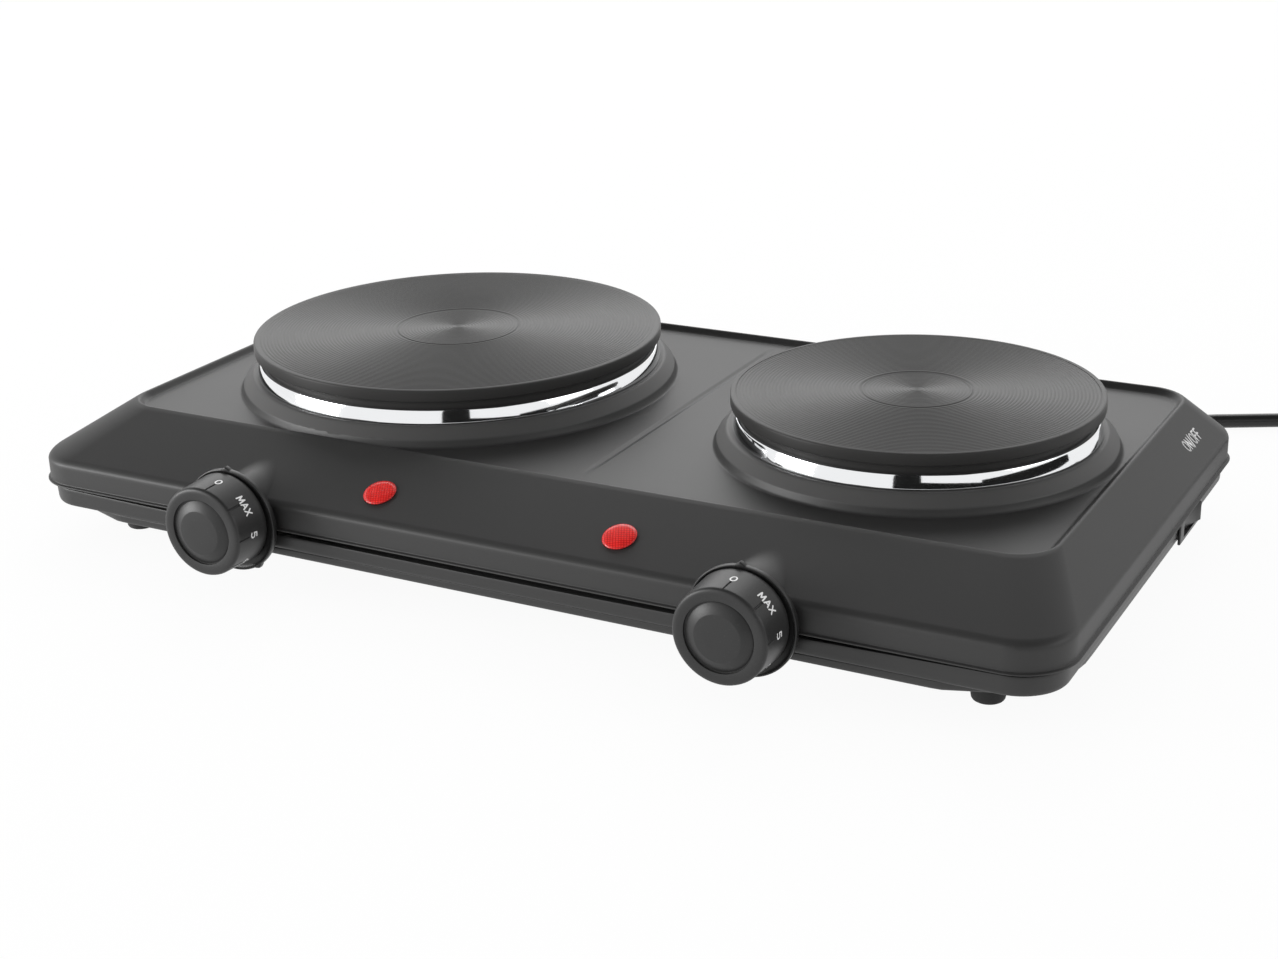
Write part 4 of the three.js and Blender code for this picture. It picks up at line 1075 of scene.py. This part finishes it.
two = [(0.0, 0.78), (0.1, 0.95), (0.33, 1.0), (0.57, 0.94), (0.65, 0.75), (0.55, 0.55), (0.0, 0.0)]
three_top = [(0.02, 0.9), (0.3, 1.0), (0.58, 0.93), (0.64, 0.74), (0.52, 0.57), (0.27, 0.53)]
three_bottom = [(0.52, 0.5), (0.67, 0.27), (0.57, 0.07), (0.3, 0.0), (0.0, 0.1)]
five = [(0.62, 1.0), (0.1, 1.0), (0.05, 0.54), (0.34, 0.62), (0.6, 0.52), (0.67, 0.3), (0.57, 0.08)]
strokes = {
    "0": [ring_stroke(0.68)],
    "1": [[(0.05, 0.76), (0.36, 1.0), (0.36, 0.0)]],
    "2": [two + [(0.68, 0.0)]],
    "3": [three_top, three_bottom],
    "4": [[(0.52, 0.0), (0.52, 1.0), (0.0, 0.3), (0.76, 0.3)]],
    "5": [five + [(0.3, 0.0), (0.0, 0.09)]],
    "M": [[(0.0, 0.0), (0.1, 1.0), (0.42, 0.2), (0.74, 1.0), (0.84, 0.0)]],
    "A": [[(0.0, 0.0), (0.36, 1.0), (0.72, 0.0)], [(0.14, 0.32), (0.58, 0.32)]],
    "X": [[(0.0, 1.0), (0.66, 0.0)], [(0.66, 1.0), (0.0, 0.0)]],
    "O": [ring_stroke(0.8)],
    "N": [[(0.0, 0.0), (0.0, 1.0), (0.66, 0.0), (0.66, 1.0)]],
    "F": [[(0.0, 0.0), (0.0, 1.0), (0.54, 1.0)], [(0.0, 0.52), (0.46, 0.52)]],
    "/": [[(0.0, -0.1), (0.4, 1.1)]],
}
letter_gap = 0.28


def glyphs(text, height, weight, wide=1.0):
    """Letters drawn with a round pen, as flat points centred on the origin and their faces."""
    points = []
    faces = []
    pen = weight / 2
    turns = np.linspace(0, FULL_TURN, 10, endpoint=False)
    disc = [pen * np.array([math.cos(t), math.sin(t)]) for t in turns]
    left = 0.0
    for letter in text:
        for stroke in strokes[letter]:
            path = [np.array([(left + x) * height * wide, y * height]) for x, y in stroke]
            for a, b in zip(path, path[1:]):
                along = (b - a) / np.linalg.norm(b - a)
                side = np.array([-along[1], along[0]]) * pen
                count = max(int(np.ceil(np.linalg.norm(b - a) / 0.5)), 1)
                first = range(len(points), len(points) + 2 * count, 2)
                faces += [(k, k + 1, k + 3, k + 2) for k in first]
                for k in range(count + 1):
                    here = a + (b - a) * k / count
                    points += [here + side, here - side]
            for knot in path:
                faces.append(tuple(range(len(points), len(points) + len(disc))))
                points += [knot + d for d in disc]
        left += max(x for stroke in strokes[letter] for x, _ in stroke) + letter_gap
    points = np.array(points)
    return points - (points.min(axis=0) + points.max(axis=0)) / 2, faces


def printed(name, parts, body):
    points = []
    faces = []
    for flat, loops in parts:
        faces += [[v + len(points) for v in loop] for loop in loops]
        points += flat.tolist()
    piece(name, points, faces, print_white, body, (), None, 60)


# %% Dial, numbers and collar
marks = {"0": 4.7, "MAX": 46.0, "5": 88.0, "4": 128.5, "3": 169.0, "2": 209.0, "1": 249.0}
fine = [-4, -2.2, -1.35, -1.0, -0.55, 0.0, 0.55, 1.0, 1.35, 2.2, 4]
near_marks = {round(t + f, 3) for t in marks.values() for f in fine}
between = {float(a) for a in range(0, 360, 5) if min(abs(a - t) for t in marks.values()) > 5.2}
around_dial = sorted(near_marks | between)
tick_low, tick_high, tick_depth = 10.6, 16.5, 0.45
dial_radius, dial_taper = 19.8, 0.65
max_label_shift = 3.6
label_height, label_radius, label_size, label_pen = 8.1, 19.4, 3.3, 0.62
ink = 0.06
collar_radius, collar_drop = 22.3, 1.6


def side_radius(height):
    return dial_radius - dial_taper * height / 17.6


def dial_profile():
    heights = (2, 4, 6, 8, 9.5, 10.2, 10.5, 10.9, 11.8, 12.8, 13.8, 14.8, 15.6, 16.2, 16.7)
    line = [(19.3, 0.0), (19.65, 0.08), (dial_radius, 0.35)]
    line += [(side_radius(h), h) for h in heights]
    line += [(19.1, 16.95), (18.97, 17.3), (18.75, 17.6), (18.4, 17.87), (17.95, 18.05), (17.4, 18.15)]
    line += [(16.8, 18.18), (14.45, 18.1), (14.3, 18.05), (14.22, 17.9), (14.2, 17.2), (13.65, 17.2)]
    line += [(13.62, 17.3), (13.55, 17.38), (9.6, 19.12), (9.45, 19.17), (9.25, 19.2), (4, 19.2)]
    line += [(0, 19.2), (0, 15.9), (3.3, 15.9), (3.3, 0.6), (6, 0.6), (6, 15.9), (16.4, 15.9)]
    return line + [(17.8, 0.0)]


def collar_profile():
    line = [(4, 0), (19.6, 0), (19.8, 0.3), (19.9, 2.3), (21.9, 2.6), (22.22, 2.72)]
    line += [(collar_radius, 3.0), (collar_radius, 4.55), (22.22, 4.85), (22.0, 5.0), (21.7, 4.98)]
    return line + [(21.5, 4.75), (21.3, 4.5), (20.4, 4.25), (19.2, 4.1), (4, 4.1)]


def polar(points):
    """Radius in mm, and angle in degrees clockwise from +Y, of points round Z."""
    x, y = points[:, 0], points[:, 1]
    return np.hypot(x, y) / MM, np.degrees(np.arctan2(x, y))


def apart(clock, angle):
    return np.abs((clock - angle + 180) % 360 - 180)


def swell(points, radius, growth):
    points[:, :2] *= (1 + growth / np.maximum(radius, 1))[:, None]


for side, turned_by, bumps in (("left", 6.0, {359.0: 1.3, 147.0: 1.0}), ("right", 0.0, {359.0: 1.3})):
    dial_body = side + "_dial"
    middle_x, _, middle_z = centre_of(side + "_dial")
    seated = (middle_x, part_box(side + "_dial")[1][1], middle_z)
    points, faces = revolve(dial_profile(), clock=around_dial)
    height = points[:, 2] / MM
    radius, clock = polar(points)
    off_tick = np.min([apart(clock, angle) for angle in marks.values()], axis=0)
    on_side = (height > tick_low - 0.3) & (height < tick_high + 0.3) & (radius > 18)
    swell(points, radius, -tick_depth * np.clip((1.25 - off_tick) / 0.5, 0, 1) * on_side)
    points = facing_front(points @ np.array(Matrix.Rotation(math.radians(turned_by), 3, "Z")), seated)
    piece(side + "_dial_knob", points, faces, dial_plastic, dial_body, [side + "_dial"], "dial_plastic", 42)
    prints = []
    for label, angle in marks.items():
        wide, shift = (0.9, max_label_shift) if label == "MAX" else (1.0, 0.0)
        flat, loops = glyphs(label, label_size, label_pen, wide)
        away = label_height - flat[:, 1]
        reach = side_radius(away) + ink
        theta = np.radians(angle + turned_by + shift) + flat[:, 0] / label_radius
        wrapped = np.stack([reach * np.sin(theta), reach * np.cos(theta), away], axis=1) * MM
        prints.append((facing_front(wrapped, seated), loops))
    printed(side + "_dial_numbers", prints, dial_body)
    near_bumps = {round((at + d) % 360, 3) for at in bumps for d in np.arange(-6, 6.1, 0.75)}
    points, faces = revolve(collar_profile(), clock=sorted(near_bumps | set(np.arange(0, 360, 3.0))))
    radius, clock = polar(points)
    for at, proud in bumps.items():
        off = np.radians(apart(clock, at)) * collar_radius
        swell(points, radius, proud * np.clip(1 - off / 2.1, 0, 1) ** 0.8 * (radius > 21.8))
    seated = (middle_x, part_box(side + "_dial_collar")[1][1], middle_z - collar_drop * MM)
    rest = (collar_plastic, "housing", [side + "_dial_collar"], "black_plastic")
    piece(side + "_collar_ring", facing_front(points, seated), faces, *rest)
print("dials:", len(around_dial), "angles")

# %% [markdown]
# ## Lamps, switch and marks
#
# The lamps are shallow red domes with a moulded cross pattern. The rocker sits in a flanged housing in
# the right wall of the tray, and ON/OFF is printed above it on the slope.

# %% Lamps
dome = [(0, -5), (4.4, -5), (4.6, -4.8), (4.6, 0.15), (6.7, 0.25), (6.95, 0.36), (7.0, 0.6), (6.8, 0.9)]
dome += [(6.3, 1.12)]
dome += [(6.2 * math.cos(a), 1.1 + 0.75 * math.sin(a)) for a in np.radians(np.arange(10, 90, 10))]
points, faces = revolve(dome + [(0, 1.85)], 64)
front_slope = math.atan2(slope_rise, bead_box[2] - skirt_box[2])
leaning = points @ np.array(Matrix.Rotation(front_slope, 3, "X")).T
for side, way in (("left", -1), ("right", 1)):
    rest = (red_lens, "housing", [side + "_indicator_lens"], "red_lens")
    piece(side + "_lens_dome", leaning + np.array([way * 56.0, -101.5, 44.28]) * MM, faces, *rest)

# %% ON/OFF on the right slope
flat, loops = glyphs("ON/OFF", 4.9, 0.85, 0.8)
right_slope = math.atan2(slope_rise, skirt_box[1] - bead_box[1])
x = 227.3 - flat[:, 1] * math.cos(right_slope)
y = 90.8 + flat[:, 0]
mark = np.stack([x, y, housing_height(x, y) + ink], axis=1) * MM
printed("on_off_mark", [(mark, loops)], "housing")

# %% Switch housing
_, middle_y, middle_z = centre_of("switch_housing")
flange_back = switch_high[0] - 1.2 * MM
window_half_width, window_half_height, window_depth = 11.4, 4.55, 9.4


def about_switch(start, end, half_width, half_height):
    """Two corners of a box that runs from start to end in X and is centred on the switch."""
    half_width, half_height = half_width * MM, half_height * MM
    low = (start, middle_y - half_width, middle_z - half_height)
    return low, (end, middle_y + half_width, middle_z + half_height)


def switch_part(name, low, high, radius, stands_for, hole_start):
    """A moulded box with rounded edges and the rocker's window in it."""
    made = piece(name, *brick(low, high), black_plastic, "housing", stands_for, "black_plastic", 30)
    edge = made.modifiers.new("edge", "BEVEL")
    edge.width = radius * MM
    edge.segments = 3
    applied(made)
    hole = about_switch(hole_start, high[0] + 0.01, window_half_width, window_half_height)
    cut_from(made, *brick(*hole))
    smooth_with_edges(made.data, 40)


flange_low = (flange_back, *switch_low[1:])
switch_part("switch_flange", flange_low, switch_high, 0.45, ["switch_housing"], flange_back - 0.01)
case = about_switch(switch_low[0], flange_back, 13.5, 5.5)
switch_part("switch_case", *case, 0.5, (), flange_back - window_depth * MM)


# %% Rocker
def rocker_outline():
    half, level = 10.5, 2.8
    front = [(level - 1.4 * (1 - (t / half) ** 2) ** 0.8, t) for t in np.linspace(-half, half, 15)]
    front[0] = (level - 0.25, -half + 0.05)
    front[-1] = (level - 0.25, half - 0.05)
    return np.array([(-level, -half), (level - 0.6, -half), *front, (level - 0.6, half), (-level, half)])


shape = rocker_outline()
half_height = 4.3
levels = [(half_height, 0.3), (half_height - 0.12, 0.1), (half_height - 0.35, 0.0)]
levels = [(-z, inset) for z, inset in levels] + levels[::-1]
moved_in = np.sign(shape) * (np.abs(shape) > (0.5, 8))
points = np.concatenate([at_height(shape - inset * moved_in, z) for z, inset in levels])
count = len(shape)
faces = [range(count)[::-1], range(len(points) - count, len(points))]
faces += strips(range(0, len(points), count), count)
lean = np.array(Matrix.Rotation(math.radians(-9.0), 3, "Z"))
points = (points @ lean.T) * MM + centre_of("switch_pin")
piece("rocker_cap", points, faces, black_plastic, "rocker", ["switch_rocker"], "black_plastic", 35)

# %% [markdown]
# ## What repeats: feet, screws and ribs
#
# Two recipes of geometry nodes make the pieces that come in sets. `rows_and_columns` sets copies of
# one shape out on a rectangle. `rings_along_line` strings rounded rings on an axis, each a little
# larger than the one before. Both end in real, dressed geometry, which is kept as a plain mesh.


# %% The recipe class
class Recipe(Wiring):
    """A geometry node tree with named inputs."""

    def __init__(self, name, sockets):
        super().__init__(bpy.data.node_groups.new(name, "GeometryNodeTree"))
        new_socket = self.tree.interface.new_socket
        new_socket(name="Geometry", in_out="OUTPUT", socket_type="NodeSocketGeometry")
        for label, kind in {"Material": "Material", **sockets}.items():
            new_socket(name=label, in_out="INPUT", socket_type="NodeSocket" + kind)
        self.entry = self.tree.nodes.new("NodeGroupInput")

    def given(self, label):
        return Signal(self, self.entry.outputs[label])

    def vector(self, **axes):
        return self.add("ShaderNodeCombineXYZ", inputs=axes)

    def geometry(self, kind, settings=None, output=0, **inputs):
        """A geometry node whose sockets are named with _ for a space."""
        named = {label.replace("_", " "): value for label, value in inputs.items()}
        return self.add("GeometryNode" + kind, settings, named, output)

    def end_with(self, geometry):
        solid = self.geometry("RealizeInstances", Geometry=geometry)
        dressed = self.geometry("SetMaterial", Geometry=solid, Material=self.given("Material"))
        self.plug(self.tree.nodes.new("NodeGroupOutput").inputs[0], dressed)

    def grow(self, name, values):
        """Runs the recipe with these inputs and returns the result as a plain mesh."""
        seedling = linked(name, bpy.data.meshes.new(name))
        modifier = seedling.modifiers.new(name, "NODES")
        modifier.node_group = self.tree
        for item in self.tree.interface.items_tree:
            if item.in_out == "INPUT" and item.name in values:
                modifier[item.identifier] = values[item.name]
        mesh = applied(seedling)
        bpy.data.objects.remove(seedling)
        return mesh


# %% Rows and columns
set_out = {"Shape": "Object", "Columns": "Int", "Rows": "Int", "Column pitch": "Float"}
set_out = Recipe("rows_and_columns", {**set_out, "Row pitch": "Float", "Centre": "Vector"})
lines = []
for count, pitch, axis in (("Columns", "Column pitch", "X"), ("Rows", "Row pitch", "Y")):
    step = set_out.given(pitch)
    start = set_out.vector(**{axis: (set_out.given(count) - 1) * step * -0.5})
    inputs = {"Count": set_out.given(count), "Start_Location": start}
    step = set_out.vector(**{axis: step})
    lines.append(set_out.geometry("MeshLine", {"mode": "OFFSET"}, Offset=step, **inputs))
lattice = set_out.geometry("InstanceOnPoints", Points=lines[0], Instance=lines[1])
places = set_out.geometry("RealizeInstances", Geometry=lattice)
there = set_out.geometry("SetPosition", Geometry=places, Offset=set_out.given("Centre"))
shape = set_out.geometry("ObjectInfo", output="Geometry", Object=set_out.given("Shape"))
set_out.end_with(set_out.geometry("InstanceOnPoints", Points=there, Instance=shape))


def copies(name, shape, columns, rows, pitch, centre, look, *rest):
    """A lathe shape set out in rows and columns, as one piece."""
    sample = linked("pattern", mesh_of("pattern", *shape))
    values = {"Shape": sample, "Columns": columns, "Rows": rows, "Centre": centre, "Material": look}
    values["Column pitch"], values["Row pitch"] = pitch
    mesh = set_out.grow(name, values)
    bpy.data.meshes.remove(sample.data)
    return finished(name, mesh, look, "housing", *rest)


# %% Rings along a line
sizes = {"Count": "Int", "Pitch": "Float", "Radius": "Float", "Growth": "Float", "Thickness": "Float"}
string = Recipe("rings_along_line", sizes)
step = string.vector(Z=string.given("Pitch"))
places = string.geometry("MeshLine", {"mode": "OFFSET"}, Count=string.given("Count"), Offset=step)
path = string.geometry("CurvePrimitiveCircle", Resolution=40, Radius=string.given("Radius"))
thick = string.given("Thickness") * 0.5
bead = string.geometry("CurvePrimitiveCircle", Resolution=12, Radius=thick)
ring = string.geometry("CurveToMesh", Curve=path, Profile_Curve=bead)
size = string.geometry("InputIndex") * string.given("Growth") + 1.0
grown = string.vector(X=size, Y=size, Z=1.0)
string.end_with(string.geometry("InstanceOnPoints", Points=places, Instance=ring, Scale=grown))


def strung(name, at, count, **sizes):
    """Rings on an axis that points to the front, starting at this place; sizes in mm."""
    values = {label: value * MM for label, value in sizes.items() if label != "Growth"}
    mesh = string.grow(name, {"Count": count, "Material": lead_pvc, **values, "Growth": sizes["Growth"]})
    mesh.transform(Matrix.Translation(at) @ Matrix.Rotation(math.radians(90), 4, "X"))
    return mesh


# %% [markdown]
# ## Strain relief and plug
#
# The relief is a tapered sleeve with ribs that get smaller towards the tip. The plug is the round,
# earthed kind with two pins and a ribbed grip. Their ribs are rings strung on the axis.


# %% Strain relief
def joined(name, mesh, other, node):
    """One moulded piece from a mesh and the mesh that lies on it."""
    work = bmesh.new()
    work.from_mesh(mesh)
    work.from_mesh(other)
    work.to_mesh(mesh)
    work.free()
    return finished(name, mesh, lead_pvc, "housing", [node], "black_rubber", 35)


core = [(3.7, 0.0), (4.1, 0.0), (4.3, 0.3), (4.75, 27.6), (5.5, 28.2), (6.0, 28.6), (6.0, 30.0)]
core += [(4.9, 30.0), (4.9, 36.0), (6.0, 36.2), (6.0, 37.4), (3.7, 37.4)]
stretch = (relief_high[1] - relief_low[1]) / MM / core[-1][1]
points, faces = revolve([(r, h * stretch) for r, h in core], 40)
sleeve = mesh_of("relief", facing_front(points, (exit_x, relief_tip, exit_z)), faces)
last_rib = (exit_x, relief_tip - 1.2 * MM, exit_z)
ribs = strung("relief_ribs", last_rib, 8, Pitch=3.45, Radius=4.55, Growth=0.008, Thickness=1.5)
joined("ribbed_relief", sleeve, ribs, "strain_relief")

# %% Plug
plug_low, plug_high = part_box("plug_body")
plug_x, _, plug_middle_z = centre_of("plug_body")
plug_long = (plug_high[1] - plug_low[1]) / MM
grip_radius, neck_radius = 17.6, 6.4


def plug_outline():
    line = [(0, 0), (17.6, 0), (18.3, 0.25), (18.6, 0.9), (18.6, 8.0), (18.45, 8.5), (17.95, 9.0)]
    line.append((grip_radius, 19.6))
    for t in np.linspace(0.08, 1, 12):
        line.append((grip_radius + (neck_radius - grip_radius) * t * t * (3 - 2 * t), 19.6 + 24.4 * t))
    line += [(6.2, 44.6), (6.2, 46.0), (5.2, 46.3), (5.2, 47.3), (6.0, 47.6), (6.0, 49.2), (5.0, 49.5)]
    return line + [(5.0, 50.5), (5.8, 50.8), (5.8, plug_long - 0.3), (5.5, plug_long), (0, plug_long)]


points, faces = revolve(plug_outline(), 72)
grip = mesh_of("plug", facing_back(points, (plug_x, plug_low[1], plug_middle_z)), faces)
first_ring = (plug_x, plug_low[1] + 18.2 * MM, plug_middle_z)
ribs = strung("grip_rings", first_ring, 5, Pitch=2.0, Radius=grip_radius, Growth=0.003, Thickness=1.4)
with_plug = [joined("plug_moulded", grip, ribs, "plug_body")]
for node in ("plug_pin_1", "plug_pin_2"):
    low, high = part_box(node)
    x, _, z = centre_of(node)
    radius, long = (high[0] - low[0]) / 2 / MM, (high[1] - low[1]) / MM
    shape = [(0, 0), (radius * 0.45, 0.1), (radius * 0.8, 0.5), (radius, 1.2), (radius, long), (0, long)]
    points, faces = revolve(shape, 32)
    rest = (zinc_steel, "housing", [node], "zinc_steel")
    pin = piece(node.replace("plug", "round"), facing_back(points, (x, low[1], z)), faces, *rest)
    with_plug.append(pin)
facts = {"far_end": "plug", "stiffness": "medium", "lay": "coiled", "path": line}
facts |= {"length": round(length, 3), "diameter": 2 * lead_radius}

# %% Feet
foot_pitch = np.ptp(feet, axis=0).tolist()
foot_middle = feet.mean(axis=0).tolist()
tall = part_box("foot_front_left")[1][2] / MM
foot_shape = [(4.1, 0.25), (4.3, 0.05), (4.6, 0), (5.0, 0), (5.5, 0.12), (6.0, 0.45), (6.35, 1.0)]
foot_shape += [(6.5, 1.7), (6.6, 3.0), (6.7, tall - 0.5), (6.6, tall - 0.15), (6.3, tall)]
foot_shape += [(foot_bore, tall), (foot_bore, 5.2), (4.1, 5.2)]
rest = (foot_rubber, ["foot_" + corner for corner in corner_names], "black_rubber")
copies("rubber_feet", revolve(foot_shape, 48), 2, 2, foot_pitch, (*foot_middle, 0.0), *rest)


# %% Screws
def screw(head_radius, head_height, shank_radius, long):
    """A pan-head screw whose head is at the origin and whose threaded shank points up."""
    line = [(0, 0.9), (1.0, 0.8), (1.15, 0.1), (head_radius * 0.7, 0), (head_radius * 0.93, 0.3)]
    line += [(head_radius, 0.8), (head_radius, head_height), (shank_radius, head_height)]
    pitch, root = 0.8, shank_radius - 0.25
    for k in range(int((long - head_height - 1.5) / pitch)):
        base = head_height + 0.4 + k * pitch
        line += [(shank_radius, base), (shank_radius, base + 0.1), (root, base + 0.45), (root, base + 0.5)]
    return revolve(line + [(shank_radius, long - 0.5), (shank_radius - 0.5, long), (0, long)], 24)


low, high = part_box("foot_screw_front_left")
shape = screw((high[0] - low[0]) / MM / 2, 2.3, 1.95, (high[2] - low[2]) / MM)
rest = (zinc_steel, ["foot_screw_" + corner for corner in corner_names], "zinc_steel", 30)
copies("foot_screws", shape, 2, 2, foot_pitch, (*foot_middle, low[2]), *rest)
for name, way in (("left", -1), ("right", 1)):
    nodes = ["%s_thermostat_screw_%d" % (name, k) for k in (1, 2)]
    low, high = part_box(nodes[0])
    points, faces = screw((high[0] - low[0]) / MM / 2, 1.6, 1.4, (high[1] - low[1]) / MM)
    shape = (facing_back(points, (0, 0, 0)), faces)
    apart_x = abs(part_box(nodes[1])[0][0] - low[0])
    centre = (way * dial_x * MM, low[1], centre_of(nodes[0])[2])
    rest = (zinc_steel, nodes, "zinc_steel", 30)
    copies(name + "_thermostat_screws", shape, 2, 1, (apart_x, 0.0), centre, *rest)
print("relief, plug, feet and screws")

# %% [markdown]
# ## Finishes of the inner parts
#
# The parts under the plates and in the tray keep the shape of their solids and get real finishes.

# %% Inner parts
inner = [
    (zinc_steel, ("_clamp_bar", "_centre_stud", "_dial_shaft", "_screw_", "switch_pin", "_heating_coil")),
    (aluminium, ("_heat_shield",)),
    (brass, ("_clamp_nut",)),
    (steatite, ("_terminal_ceramic", "_thermostat", "terminal_block")),
    (glass_sleeve, ("wire",)),
    (black_plastic, ("_indicator_holder",)),
    (lead_pvc, ("supply_lead",)),
]
plain = []
for node, solid in solids.items():
    chosen = [material for material, parts in inner if any(part in node for part in parts)]
    if not chosen:
        plain.append(node)
        continue
    for place in solid.material_slots:
        place.link = "OBJECT"
        place.material = chosen[0]
print("nodes without an inner finish:", plain)
